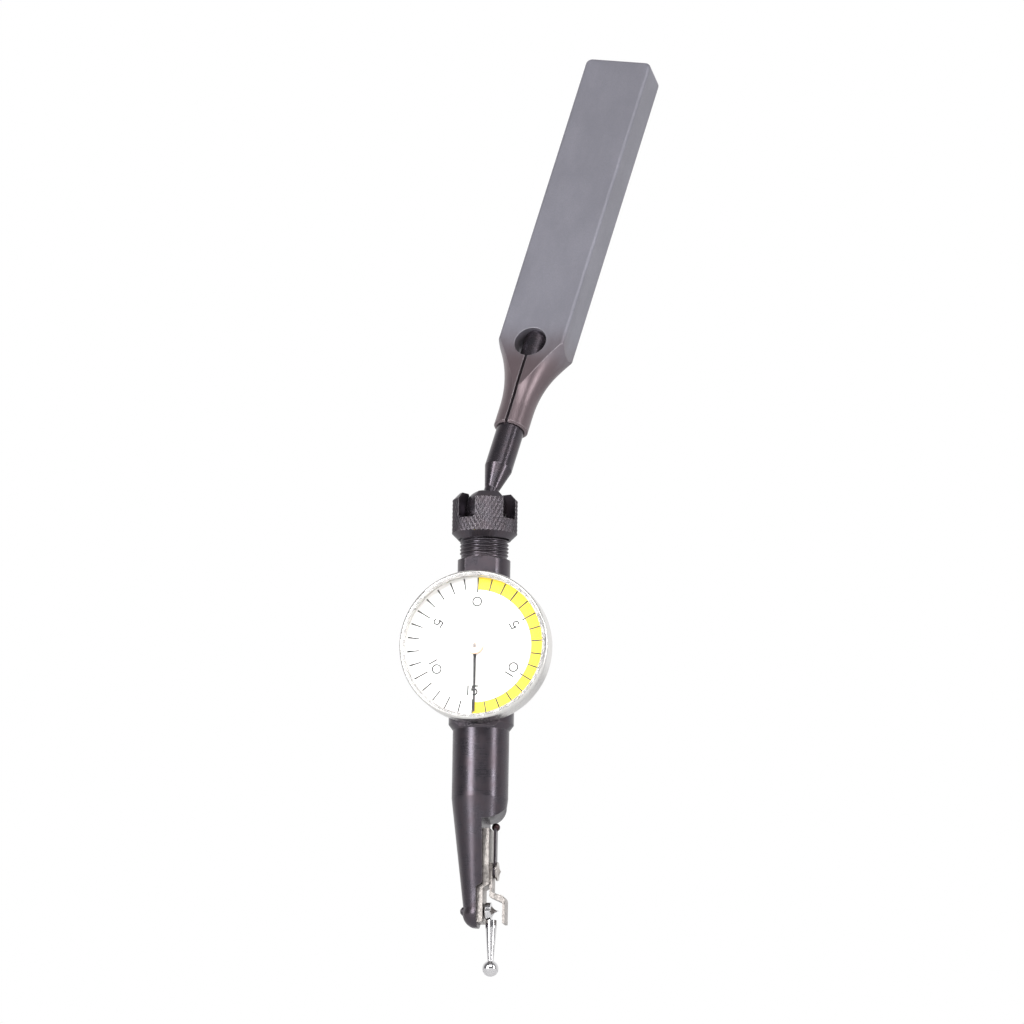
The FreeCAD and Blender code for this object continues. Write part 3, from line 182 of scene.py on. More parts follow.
class DialSettings(bpy.types.PropertyGroup):
    """Sizes of the print on the dial."""
    divisions: IntProperty(name="Divisions", description="Graduations round the dial", default=30, min=4)
    numbered: IntProperty(name="Numbered every", description="Graduations from one number to the next",
                          default=5, min=1)
    line_outer: FloatProperty(name="Line end", description="Outer end of the graduations",
                              default=11.62 * MM, unit="LENGTH")
    line_inner: FloatProperty(name="Line start", description="Inner end of a plain graduation",
                              default=9.55 * MM, unit="LENGTH")
    long_inner: FloatProperty(name="Long line start", description="Inner end of a numbered graduation",
                              default=9.05 * MM, unit="LENGTH")
    line_width: FloatProperty(name="Line width", description="Width of the graduations",
                              default=0.24 * MM, unit="LENGTH")
    band_inner: FloatProperty(name="Band inside", description="Inner radius of the yellow band",
                              default=9.55 * MM, unit="LENGTH")
    band_outer: FloatProperty(name="Band outside", description="Outer radius of the yellow band",
                              default=11.72 * MM, unit="LENGTH")
    number_radius: FloatProperty(name="Number radius", description="Radius of the numbers' middles",
                                 default=7.55 * MM, unit="LENGTH")
    number_height: FloatProperty(name="Number height", description="Height of the numbers",
                                 default=1.72 * MM, unit="LENGTH")
    stroke: FloatProperty(name="Stroke", description="Width of the numbers' strokes", default=0.25 * MM,
                          unit="LENGTH")
    turned: FloatProperty(name="Turned", description="How far the bezel has been turned, clockwise",
                          default=math.radians(1.7), subtype="ANGLE")


class StageSettings(bpy.types.PropertyGroup):
    """Camera, light and floor."""
    azimuth: FloatProperty(name="Azimuth", description="Camera's place round the object",
                           default=math.radians(10.5), subtype="ANGLE")
    elevation: FloatProperty(name="Elevation", description="Camera's height as an angle",
                             default=math.radians(-10), subtype="ANGLE")
    roll: FloatProperty(name="Roll", description="Lean of the object's axis in the view",
                        default=math.radians(1.0), subtype="ANGLE")
    view_width: FloatProperty(name="View width", description="Width of the view at the object",
                              default=172.4 * MM, unit="LENGTH")
    lens: FloatProperty(name="Lens", description="Focal length of the camera, in millimetres",
                        default=400, min=10)
    aim_across: FloatProperty(name="Aim across", description="Aim to the right of the dial's middle",
                              default=4.966 * MM, unit="LENGTH")
    aim_up: FloatProperty(name="Aim up", description="Aim above the dial's middle",
                          default=23.65 * MM, unit="LENGTH")
    floor_gap: FloatProperty(name="Floor gap", description="Height of the contact over the floor",
                             default=14 * MM, unit="LENGTH")
    backdrop: FloatVectorProperty(name="Backdrop", description="Colour behind the object",
                                  subtype="COLOR", default=(1, 1, 1), min=0, max=1)


# ---------------------------------------------------------------- shaders

class Value:
    """A socket that does arithmetic: each operation adds one Math node."""

    def __init__(self, finish, socket):
        self.finish = finish
        self.socket = socket

    def math(self, operation, other=0.0, swapped=False, clamp=False):
        pair = (other, self) if swapped else (self, other)
        return self.finish.node("ShaderNodeMath", {"operation": operation, "use_clamp": clamp},
                                {0: pair[0], 1: pair[1]})

    def __add__(self, other):
        return self.math("ADD", other)

    def __sub__(self, other):
        return self.math("SUBTRACT", other)

    def __rsub__(self, other):
        return self.math("SUBTRACT", other, swapped=True)

    def __mul__(self, other):
        return self.math("MULTIPLY", other)

    def __truediv__(self, other):
        return self.math("DIVIDE", other)

    def __pow__(self, other):
        return self.math("POWER", other)

    __radd__ = __add__
    __rmul__ = __mul__

    def clamped(self):
        return self.math("ADD", 0.0, clamp=True)


class Finish:
    """The nodes of a material, or of the world, under construction."""

    def __init__(self, name, kind="materials"):
        self.owner = getattr(bpy.data, kind).new(name)
        self.owner.use_nodes = True
        self.tree = self.owner.node_tree
        self.tree.nodes.clear()
        self.output = self.tree.nodes.new(
            "ShaderNodeOutputMaterial" if kind == "materials" else "ShaderNodeOutputWorld")

    def feed(self, socket, value):
        if isinstance(value, Value):
            self.tree.links.new(value.socket, socket)
        else:
            socket.default_value = value

    def node(self, kind, settings=None, inputs=None, output=0):
        """Adds a node: its settings first, then the values or links of its sockets."""
        made = self.tree.nodes.new(kind)
        for name, value in (settings or {}).items():
            if name == "stops":
                ramp = made.color_ramp.elements
                while len(ramp) < len(value):
                    ramp.new(0.5)
                for element, (position, colour) in zip(ramp, value):
                    element.position = position
                    element.color = (*colour, 1)
            else:
                setattr(made, name, value)
        for key, value in (inputs or {}).items():
            self.feed(made.inputs[key], value)
        return Value(self, made.outputs[output])

    def axes(self, origin, along, across=RIGHT):
        """Millimetres across, in depth and along a local axis through a place on the object."""
        along = along.normalized()
        depth = along.cross(across).normalized()
        side = depth.cross(along)
        position = self.node("ShaderNodeTexCoord", output="Object")
        local = self.node("ShaderNodeVectorMath", {"operation": "SUBTRACT"}, {0: position, 1: origin})
        return [self.node("ShaderNodeVectorMath", {"operation": "DOT_PRODUCT"},
                          {0: local, 1: direction * 1000}, output="Value")
                for direction in (side, depth, along)]

    def vector(self, first, second, third):
        return self.node("ShaderNodeCombineXYZ", None, {0: first, 1: second, 2: third})

    def noise(self, vector, scale=1.0, detail=3.0, roughness=0.5):
        return self.node("ShaderNodeTexNoise", None,
                         {"Vector": vector, "Scale": scale, "Detail": detail, "Roughness": roughness})

    def band(self, value, low, high):
        """Runs from 0 to 1 as the value goes from low to high, smoothly."""
        return self.node("ShaderNodeMapRange", {"interpolation_type": "SMOOTHSTEP"},
                         {"Value": value, "From Min": low, "From Max": high})

    def mix(self, share, first, second):
        def colour(value):
            return value if isinstance(value, Value) else (*value[:3], 1)

        return self.node("ShaderNodeMix", {"data_type": "RGBA"},
                         {0: share, 6: colour(first), 7: colour(second)}, output=2)

    def bump(self, height, distance, normal=None):
        inputs = {"Height": height, "Distance": distance, "Strength": 1.0}
        if normal is not None:
            inputs["Normal"] = normal
        return self.node("ShaderNodeBump", None, inputs)

    def rounded(self, radius):
        """A normal that runs round the sharp edges of a solid."""
        return self.node("ShaderNodeBevel", {"samples": 6}, {"Radius": radius})

    def edges(self, soft):
        """1 on a sharp outer edge and 0 on a plain surface."""
        flat = self.node("ShaderNodeNewGeometry", output="Normal")
        same = self.node("ShaderNodeVectorMath", {"operation": "DOT_PRODUCT"}, {0: soft, 1: flat},
                         output="Value")
        return ((1 - same) * 7).clamped()

    def surface(self, **inputs):
        """The main shader; a name's underscores stand for spaces."""
        shader = self.node("ShaderNodeBsdfPrincipled", None,
                           {name.replace("_", " "): value for name, value in inputs.items()},
                           output="BSDF")
        self.show(shader)

    def show(self, shader):
        """Ends the nodes in this shader."""
        self.tree.links.new(shader.socket, self.output.inputs["Surface"])


def turned_marks(finish, x, y, along, pitch=14.0):
    """Fine rings that a lathe leaves round an axis, from -1 to 1 or so."""
    radius = (x * x + y * y) ** 0.5
    rings = finish.noise(finish.vector(radius * pitch, along * pitch, 0.0), 1.0, 2.0)
    return rings - 0.5


def blued_steel(name, origin, axis, colour, tint=0.35, rough=0.3):
    """Black oxide over turned steel: cloudy tint, lathe rings and edges rubbed bright."""
    finish = Finish(name)
    x, y, z = finish.axes(origin, axis)
    place = finish.vector(x, y, z)
    soft = finish.rounded(0.12 * MM)
    rings = turned_marks(finish, x, y, z)
    clouds = finish.noise(place, 0.45, 5.0, 0.6)
    specks = finish.noise(place, 9.0, 3.0, 0.7)
    worn = (finish.edges(soft) * finish.band(specks, 0.35, 0.6)).clamped()
    base = finish.mix(finish.band(clouds, 0.35, 0.7) * tint, colour,
                      (colour[0] * 1.25, colour[1] * 0.98, colour[2] * 0.92))
    base = finish.mix(finish.band(specks, 0.55, 0.75) * 0.18, base, Vector(colour) * 1.7)
    base = finish.mix(worn * 0.55, base, (0.42, 0.40, 0.40))
    roughness = rough + (clouds - 0.5) * 0.22 + rings * 0.16
    height = rings * 0.5 + (specks - 0.5) * 0.25
    finish.surface(Base_Color=base, Metallic=0.92, Roughness=roughness, Specular_IOR_Level=0.5,
                   Normal=finish.bump(height, 0.006 * MM, soft))
    return finish.owner


def shank_steel(colours):
    """Ground bar, lightly blued: grain lies along the bar, and the turned collet is browner."""
    finish = Finish("shank_steel")
    side = ROD_AXIS.cross(SHANK_FACE)
    x, y, z = finish.axes(BALL, ROD_AXIS, side)
    soft = finish.rounded(0.2 * MM)
    grain = finish.noise(finish.vector(x * 11, y * 11, z * 0.5), 1.0, 4.0, 0.65)
    grit = finish.noise(finish.vector(x, y, z), 7.0, 4.0, 0.65)
    clouds = finish.noise(finish.vector(x, y, z * 0.5), 0.22, 4.0, 0.55)
    worn = (finish.edges(soft) * finish.band(grit, 0.3, 0.6)).clamped()
    blue = finish.mix(finish.band(clouds, 0.3, 0.7), Vector(colours.shank) * 0.92,
                      Vector(colours.shank) * 1.06)
    blue = finish.mix(finish.band(grit, 0.35, 0.65) * 0.35, blue, Vector(colours.shank) * 0.72)
    browned = finish.band(z + (clouds - 0.5) * 7, 37.0, 27.5)
    base = finish.mix(browned * 0.85, blue, colours.collet)
    base = finish.mix(worn * 0.5, base, (0.55, 0.54, 0.56))
    height = (grain - 0.5) * 0.6 + (grit - 0.5) * 0.5
    roughness = 0.46 + (grit - 0.5) * 0.25 - browned * 0.12
    finish.surface(Base_Color=base, Metallic=0.7, Roughness=roughness,
                   Normal=finish.bump(height, 0.012 * MM, soft))
    return finish.owner


def machined(name, origin, axis, colour, rough=0.22, pitch=16.0, depth=0.004, wear=0.2):
    """Bright turned or polished metal with fine rings and a few handling marks."""
    finish = Finish(name)
    x, y, z = finish.axes(origin, axis)
    place = finish.vector(x, y, z)
    soft = finish.rounded(0.06 * MM)
    rings = turned_marks(finish, x, y, z, pitch)
    smudge = finish.noise(place, 0.6, 4.0, 0.6)
    fine = finish.noise(place, 18.0, 2.0, 0.6)
    dull = finish.band(smudge, 0.4, 0.75)
    base = finish.mix(dull * wear, colour, Vector(colour) * 0.78)
    base = finish.mix(finish.band(fine, 0.6, 0.8) * 0.15, base, Vector(colour) * 0.6)
    roughness = rough + dull * 0.08 + rings * 0.1
    finish.surface(Base_Color=base, Metallic=1.0, Roughness=roughness,
                   Normal=finish.bump(rings, depth * MM, soft))
    return finish.owner


def filed_steel(name, colour):
    """Bright sheet with filed and tumbled surfaces, darkened in random stains and strokes."""
    finish = Finish(name)
    x, y, z = finish.axes(PIVOT, UP)
    place = finish.vector(x, y, z)
    soft = finish.rounded(0.08 * MM)
    strokes = finish.noise(finish.vector(x * 3 + z * 2, y * 9, z * 4), 1.0, 4.0, 0.7)
    stain = finish.noise(place, 1.6, 5.0, 0.7)
    base = finish.mix(finish.band(stain, 0.42, 0.68), colour, Vector(colour) * 0.45)
    base = finish.mix(finish.band(strokes, 0.5, 0.75) * 0.45, base, (0.25, 0.22, 0.21))
    roughness = 0.36 + (strokes - 0.5) * 0.35
    finish.surface(Base_Color=base, Metallic=0.9, Roughness=roughness,
                   Normal=finish.bump(strokes + stain * 0.5, 0.03 * MM, soft))
    return finish.owner


def enamel(name, colour, gloss=0.35, mottle=0.04):
    """Baked white enamel or printed ink with a faint orange peel."""
    finish = Finish(name)
    x, y, z = finish.axes(DIAL, UP)
    place = finish.vector(x, y, z)
    peel = finish.noise(place, 2.2, 2.0, 0.5)
    grain = finish.noise(place, 22.0, 2.0, 0.6)
    base = finish.mix(finish.band(grain, 0.3, 0.7), Vector(colour) * (1 - mottle), colour)
    base = finish.mix(finish.band(peel, 0.35, 0.65) * 0.5, base, Vector(colour) * (1 - mottle * 0.7))
    finish.surface(Base_Color=base, Roughness=gloss + (peel - 0.5) * 0.1,
                   Normal=finish.bump(peel, 0.004 * MM))
    return finish.owner


def clear_plastic():
    """Clear moulded disc: light passes it without a shadow, and faint rubbing dulls it."""
    finish = Finish("clear_disc")
    x, y, z = finish.axes(DIAL, UP)
    rubbing = finish.noise(finish.vector(x * 0.6, y, z * 2), 1.2, 4.0, 0.7)
    glass = finish.node("ShaderNodeBsdfPrincipled", None, {
        "Base Color": finish.mix(finish.band(rubbing, 0.4, 0.8) * 0.3, (1, 1, 1), (0.97, 0.98, 0.985)),
        "Roughness": 0.01 + finish.band(rubbing, 0.6, 0.9) * 0.05,
        "IOR": 1.1, "Transmission Weight": 1.0}, output="BSDF")
    through = finish.node("ShaderNodeBsdfTransparent")
    shadow = finish.node("ShaderNodeLightPath", output="Is Shadow Ray")
    mixed = finish.node("ShaderNodeMixShader", None, {0: shadow, 1: glass, 2: through})
    finish.show(mixed)
    return finish.owner


# ---------------------------------------------------------------- meshes

def add_piece(name, mesh, body, material):
    """A finished mesh as a named piece that rides on a body of the model."""
    made = bpy.data.objects.new(name, mesh)
    bpy.context.scene.collection.objects.link(made)
    mesh.materials.clear()
    mesh.materials.append(material)
    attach(made, body)
    return made


def finished_mesh(name, form):
    """Turns a bmesh into a mesh with its faces pointing outward."""
    bmesh.ops.recalc_face_normals(form, faces=form.faces)
    mesh = bpy.data.meshes.new(name)
    form.to_mesh(mesh)
    form.free()
    return mesh


def cut_away(mesh, cutters):
    """The mesh less the cutters, which are meshes of their own."""
    target = bpy.data.objects.new("blank", mesh)
    bpy.context.scene.collection.objects.link(target)
    tools = []
    for cutter in cutters:
        tool = bpy.data.objects.new("cutter", cutter)
        bpy.context.scene.collection.objects.link(tool)
        tools.append(tool)
        modifier = target.modifiers.new("cut", "BOOLEAN")
        modifier.object = tool
        modifier.solver = "EXACT"
    bpy.context.view_layer.update()
    result = bpy.data.meshes.new_from_object(target.evaluated_get(bpy.context.evaluated_depsgraph_get()))
    result.name = mesh.name + "_cut"
    for made in (target, *tools):
        bpy.data.objects.remove(made)
    return result


def turn(form, profile, origin, axis, across, columns):
    """Rings of vertices round an axis, one for each (radius, height) of a closed profile."""
    depth = axis.cross(across)
    rings = []
    for radius, height in profile:
        ring = []
        for column in range(columns):
            angle = 2 * math.pi * column / columns
            way = across * math.cos(angle) + depth * math.sin(angle)
            ring.append(form.verts.new(origin + way * radius + axis * height))
        rings.append(ring)
    return rings


def bridge(form, rings, closed=True):
    """Faces between one ring and the next."""
    pairs = list(zip(rings, rings[1:] + rings[:1] if closed else rings[1:]))
    for first, second in pairs:
        for column, (near, far) in enumerate(zip(first, second)):
            following = (column + 1) % len(first)
            form.faces.new((near, first[following], second[following], far))


def extrude_outline(name, outline, origin, right, up, front, thickness):
    """A flat closed outline given as (across, upward) pairs, thickened toward the front."""
    form = bmesh.new()
    back = [form.verts.new(origin + right * x + up * y) for x, y in outline]
    fore = [form.verts.new(vertex.co + front * thickness) for vertex in back]
    form.faces.new(fore)
    form.faces.new(list(reversed(back)))
    for index, vertex in enumerate(back):
        following = (index + 1) % len(back)
        form.faces.new((vertex, back[following], fore[following], fore[index]))
    return finished_mesh(name, form)


# ---------------------------------------------------------------- nut and thread

def knurl_height(column, row):
    """Height of a diamond, from 0 in the grooves to 1 on the point, on a lattice of quarters."""
    def ridge(quarters):
        share = (quarters % 4) / 4
        return 1 - abs(2 * share - 1)

    return min(ridge(column + row), ridge(column - row))


def knurled_zone(form, settings, radius, low, high, across):
    """Rows of diamonds between two heights over the ball, run out on the chamfers."""
    columns = settings.diamonds * 4
    rows = round((high - low) / (settings.knurl_rise / 4))
    rows -= rows % 4
    depth = UP.cross(across)
    rings = []
    for row in range(rows + 1):
        ring = []
        for column in range(columns):
            sink = settings.knurl_depth * (1 - min(knurl_height(column, row), 0.85))
            height = low + (high - low) * row / rows
            if row == 0:
                height -= sink
            if row == rows:
                height += sink
            angle = 2 * math.pi * column / columns
            way = across * math.cos(angle) + depth * math.sin(angle)
            ring.append(form.verts.new(BALL + way * (radius - sink) + UP * height))
        rings.append(ring)
    for row, (lower, upper) in enumerate(zip(rings, rings[1:])):
        for column in range(columns):
            following = (column + 1) % columns
            a, b, c, d = lower[column], lower[following], upper[following], upper[column]
            if (column + row + 1) % 4 == 0 or ((column - row) % 4 and (column + row) % 2):
                form.faces.new((a, b, d))
                form.faces.new((b, c, d))
            else:
                form.faces.new((a, b, c))
                form.faces.new((a, c, d))
    return rings


def nut_mesh(settings):
    """Clamp nut: knurled band, plain chamfers, ball seat and two crossed slots."""
    low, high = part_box("clamp_nut")
    bottom, top = low.z - BALL.z, high.z - BALL.z
    radius = (high.x - low.x) / 2
    lean = Vector((ROD_AXIS.x, ROD_AXIS.y, 0)).normalized()
    sideways = lean.cross(UP)
    columns = settings.diamonds * 4
    form = bmesh.new()
    zone = knurled_zone(form, settings, radius, bottom + settings.chamfer, top - settings.chamfer, lean)
    mouth_height = math.sqrt(settings.seat ** 2 - settings.mouth ** 2)
    bowl = [(settings.seat * math.cos(angle), settings.seat * math.sin(angle))
            for angle in (math.atan2(mouth_height, settings.mouth) * step / 8 for step in range(8, -1, -1))]
    bore = settings.thread_crest + settings.thread_fit
    edge = settings.bore_edge
    inner = [(radius - settings.rim, top), (settings.mouth + settings.mouth_edge, top), *bowl,
             (settings.seat, bottom + settings.bore_end + settings.relief),
             (bore, bottom + settings.bore_end), (bore, bottom + edge), (bore + edge, bottom),
             (radius - settings.chamfer, bottom)]
    rest = turn(form, inner, BALL, UP, lean, columns)
    bridge(form, [zone[-1], *rest, zone[0]], closed=False)
    blank = finished_mesh("nut_blank", form)
    half, floor, corner = settings.slot_width / 2, -settings.slot_depth, settings.slot_corner
    outline = [(-half, floor + corner), (-half + corner * 0.3, floor + corner * 0.3),
               (-half + corner, floor), (half - corner, floor),
               (half - corner * 0.3, floor + corner * 0.3), (half, floor + corner),
               (half, top + MM), (-half, top + MM)]
    reach = radius + MM
    slots = [extrude_outline("slot", outline, BALL - way * reach, way.cross(UP), UP, way, reach * 2)
             for way in (lean, sideways)]
    return cut_away(blank, slots)


def thread_mesh(settings):
    """Helical ridge on the neck, from the shoulder up into the nut."""
    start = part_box("clamp_nut")[0].z - BALL.z + settings.thread_overlap
    end = start - settings.thread_length
    columns, steps = 96, 10
    rows = round((start - end) / settings.thread_pitch * steps)
    form = bmesh.new()
    rings = []
    for row in range(rows + 1):
        height = end + (start - end) * row / rows
        fade = min(1, row / steps, (rows - row) / steps)
        ring = []
        for column in range(columns):
            share = (height / settings.thread_pitch - column / columns) % 1
            ridge = min(1, max(0, (1 - abs(2 * share - 1)) * 1.5 - 0.25)) * fade
            radius = settings.thread_root - 0.02 * MM + (
                settings.thread_crest - settings.thread_root) * ridge
            angle = 2 * math.pi * column / columns
            ring.append(form.verts.new(BALL + Vector((radius * math.cos(angle),
                                                      radius * math.sin(angle), height))))
        rings.append(ring)
    core = settings.thread_root - 0.1 * MM
    for ring, row in ((rings[-1], rows), (rings[0], 0)):
        height = end + (start - end) * row / rows
        rings.append([form.verts.new(BALL + Vector((core * math.cos(2 * math.pi * column / columns),
                                                    core * math.sin(2 * math.pi * column / columns),
                                                    height))) for column in range(columns)])
    bridge(form, rings)
    return finished_mesh("neck_thread", form)


# ---------------------------------------------------------------- dial print

def dial_frame(settings):
    """Middle of the dial's front face with its right and upward directions, turned with the bezel."""
    low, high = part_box("dial_face")
    middle = Vector(((low.x + high.x) / 2, low.y, (low.z + high.z) / 2))
    turn_by = Matrix.Rotation(settings.turned, 3, "Y")
    return middle, turn_by @ RIGHT, turn_by @ UP


def ribbon(form, points, width, thickness, place, closed=False):
    """A raised line of even width through points given in the dial's plane."""
    middle, right, up = place
    count = len(points)
    rows = []
    for index, (x, y) in enumerate(points):
        before = points[index - 1] if index or closed else points[index]
        after = points[(index + 1) % count] if index < count - 1 or closed else points[index]
        along_in = Vector((x - before[0], y - before[1]))
        along_out = Vector((after[0] - x, after[1] - y))
        along = sum((way.normalized() for way in (along_in, along_out) if way.length), Vector((0, 0)))
        along.normalize()
        reach = width / 2
        if along_in.length and along_out.length:
            reach /= max(0.5, along.dot(along_in.normalized()))
        offset = Vector((-along.y, along.x)) * reach
        corners = []
        for side in (1, -1):
            flat = middle + right * (x + offset.x * side) + up * (y + offset.y * side)
            corners += [form.verts.new(flat), form.verts.new(flat + FRONT * thickness)]
        rows.append(corners)
    for index in range(count if closed else count - 1):
        a, b = rows[index], rows[(index + 1) % count]
        for first, second in ((1, 3), (3, 2), (2, 0), (0, 1)):
            form.faces.new((a[first], a[second], b[second], b[first]))
    if not closed:
        form.faces.new((rows[0][0], rows[0][1], rows[0][3], rows[0][2]))
        form.faces.new((rows[-1][2], rows[-1][3], rows[-1][1], rows[-1][0]))


def arc(radius, start, end, steps, centre=(0, 0)):
    """Points on an arc in the dial's plane, with angles clockwise from the top."""
    return [(centre[0] + radius * math.sin(start + (end - start) * step / steps),
             centre[1] + radius * math.cos(start + (end - start) * step / steps))
            for step in range(steps + 1)]


def figure_strokes(figure, height, stroke):
    """Width of a figure and its strokes, as (points, closed) pairs about its middle."""
    half = (height - stroke) / 2
    if figure == "0":
        return height, [(arc(half, 0, 2 * math.pi, 32)[:-1], True)]
    if figure == "1":
        return stroke, [([(0, -half - stroke / 2), (0, half + stroke / 2)], False)]
    belly = half * 0.64
    drop = half - belly
    bowl = arc(belly, math.radians(-58), math.radians(218), 20, (-0.06 * height, -drop))
    left = (-0.33 * height, 0.03 * height)
    return height * 0.78, [([(0.33 * height, half), (-0.24 * height, half), left], False),
                           ([left, *bowl], False)]


def write_number(form, text, angle, settings, place):
    """A number whose feet point outward from the dial's middle."""
    middle, right, up = place
    outward = right * math.sin(angle) + up * math.cos(angle)
    rightward = -(right * math.cos(angle) - up * math.sin(angle))
    figures = [figure_strokes(figure, settings.number_height, settings.stroke) for figure in text]
    gap = settings.number_height * 0.24
    total = sum(width for width, strokes in figures) + gap * (len(figures) - 1)
    spot = middle + outward * settings.number_radius
    cursor = -total / 2
    for width, strokes in figures:
        local = (spot + rightward * (cursor + width / 2), rightward, -outward)
        for points, closed in strokes:
            ribbon(form, points, settings.stroke, 0.02 * MM, local, closed)
        cursor += width + gap


def dial_lines_mesh(settings):
    """Graduations all round, longer where a number stands."""
    place = dial_frame(settings)
    form = bmesh.new()
    for index in range(settings.divisions):
        angle = 2 * math.pi * index / settings.divisions
        start = settings.long_inner if index % settings.numbered == 0 else settings.line_inner
        ribbon(form, [(math.sin(angle) * reach, math.cos(angle) * reach)
                      for reach in (start, settings.line_outer)],
               settings.line_width, 0.03 * MM, place)
    return finished_mesh("dial_lines", form)


def dial_numbers_mesh(settings):
    """Numbers that count up both ways from nought to half a turn."""
    place = dial_frame(settings)
    form = bmesh.new()
    for index in range(0, settings.divisions, settings.numbered):
        count = min(index, settings.divisions - index)
        write_number(form, str(count), 2 * math.pi * index / settings.divisions, settings, place)
    return finished_mesh("dial_numbers", form)


def dial_band_mesh(settings):
    """Yellow half ring behind the graduations on the right."""
    form = bmesh.new()
    middle_radius = (settings.band_inner + settings.band_outer) / 2
    ribbon(form, arc(middle_radius, 0, math.pi, 90), settings.band_outer - settings.band_inner,
           0.012 * MM, dial_frame(settings))
    return finished_mesh("dial_band", form)


# ---------------------------------------------------------------- operators

def dress(finish, *nodes):
    """Gives CAD nodes one finish."""
    for node in nodes:
        mesh = frame["nodes"][node].data
        mesh.materials.clear()
        mesh.materials.append(finish)


class INDICATOR_OT_holder(bpy.types.Operator):
    """Finishes the flat shank and the rod that turns in it"""
    bl_idname = "indicator.holder"
    bl_label = "Shank and rod"

    def execute(self, context):
        colours = context.scene.indicator_finish
        dress(shank_steel(colours), "holder_shank")
        dress(blued_steel("rod_steel", BALL, ROD_AXIS, colours.blued, rough=0.26), "swivel_rod")
        return {"FINISHED"}


class INDICATOR_OT_nut(bpy.types.Operator):
    """Builds the knurled clamp nut and the thread under it"""
    bl_idname = "indicator.nut"
    bl_label = "Clamp nut and thread"

    def execute(self, context):
        colours = context.scene.indicator_finish
        settings = context.scene.indicator_nut
        steel = blued_steel("nut_steel", BALL, UP, colours.blued, rough=0.34)
        nut = add_piece("knurled_nut", nut_mesh(settings), "nut", steel)
        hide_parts("clamp_nut")
        add_piece("neck_thread", thread_mesh(settings), "indicator", steel)
        return {"FINISHED"}


class INDICATOR_OT_body(bpy.types.Operator):
    """Finishes the body with its ball seat"""
    bl_idname = "indicator.body"
    bl_label = "Body"

    def execute(self, context):
        colours = context.scene.indicator_finish
        dress(blued_steel("body_steel", DIAL, UP, colours.blued, rough=0.3), "indicator_body")
        dress(machined("seat_brass", BALL, UP, colours.brass, rough=0.3), "ball_seat")
        dress(machined("washer_steel", BALL, UP, colours.bright, rough=0.3), "seat_spring_washer")
        return {"FINISHED"}


class INDICATOR_OT_bezel(bpy.types.Operator):
    """Finishes the case, the bezel, its spring and the clear disc"""
    bl_idname = "indicator.bezel"
    bl_label = "Case and bezel"

    def execute(self, context):
        colours = context.scene.indicator_finish
        nickel = machined("bezel_nickel", DIAL, FRONT, colours.nickel, rough=0.24)
        dress(nickel, "bezel")
        dress(machined("case_nickel", DIAL, FRONT, colours.nickel, rough=0.3), "dial_case")
        dress(machined("spring_steel", DIAL, FRONT, colours.bright), "bezel_spring_ring")
        dress(clear_plastic(), "crystal")
        return {"FINISHED"}


class INDICATOR_OT_dial(bpy.types.Operator):
    """Prints the dial and finishes the hand"""
    bl_idname = "indicator.dial"
    bl_label = "Dial and hand"

    def execute(self, context):
        colours = context.scene.indicator_finish
        settings = context.scene.indicator_dial
        dress(enamel("dial_enamel", colours.enamel), "dial_face")
        ink = enamel("dial_ink", colours.ink, gloss=0.45, mottle=0.15)
        yellow = enamel("band_ink", colours.band, gloss=0.4, mottle=0.03)
        for mesh, finish in ((dial_band_mesh(settings), yellow), (dial_lines_mesh(settings), ink),
                             (dial_numbers_mesh(settings), ink)):
            add_piece(mesh.name, mesh, "bezel", finish)
        dress(enamel("hand_paint", linear(34, 32, 34), gloss=0.3, mottle=0.1), "pointer")
        dress(machined("hand_disc", DIAL, FRONT, colours.copper, rough=0.32, depth=0.002), "pointer_hub")
        return {"FINISHED"}


class INDICATOR_OT_movement(bpy.types.Operator):
    """Finishes the gear train, its bushes and its screws"""
    bl_idname = "indicator.movement"
    bl_label = "Movement"

    def execute(self, context):
        colours = context.scene.indicator_finish
        dress(machined("gear_brass", DIAL, RIGHT, colours.brass, rough=0.24), "crown_wheel",
              "cross_shaft_bushes", "arbor_bush")
        dress(filed_steel("bridge_brass", colours.brass), "movement_bridge")
        dress(machined("arbor_steel", DIAL, FRONT, colours.bright), "pointer_arbor")
        dress(machined("shaft_steel", DIAL, RIGHT, colours.bright), "cross_shaft")
        dress(machined("screw_steel", DIAL, FRONT, colours.bright), "case_screws", "bridge_screws")
        dress(filed_steel("lever_steel", colours.bright), "sector_lever")
        return {"FINISHED"}


class INDICATOR_OT_nose(bpy.types.Operator):
    """Finishes the plate, the guard, the reversing lever and the contact"""
    bl_idname = "indicator.nose"
    bl_label = "Nose and contact"

    def execute(self, context):
        colours = context.scene.indicator_finish
        dress(filed_steel("plate_steel", colours.bright), "nose_plate", "contact_guard")
        dress(blued_steel("pin_steel", PIVOT, RIGHT, colours.blued), "pivot_shaft")
        dress(blued_steel("reverser_steel", PIVOT, UP, colours.blued), "reversing_lever")
        dress(blued_steel("knob_steel", middle("reversing_knob"), RIGHT,
                          Vector(linear(62, 48, 50))), "reversing_knob")
        dress(machined("lever_screw_steel", middle("reversing_lever_screw"), RIGHT, colours.bright,
                       rough=0.18), "reversing_lever_screw")
        dress(machined("hub_chrome", PIVOT, RIGHT, colours.chrome, rough=0.12), "contact_hub")
        dress(machined("contact_chrome", PIVOT, UP, colours.chrome, rough=0.1, depth=0.002),
              "contact_stem", "contact_ball")
        return {"FINISHED"}


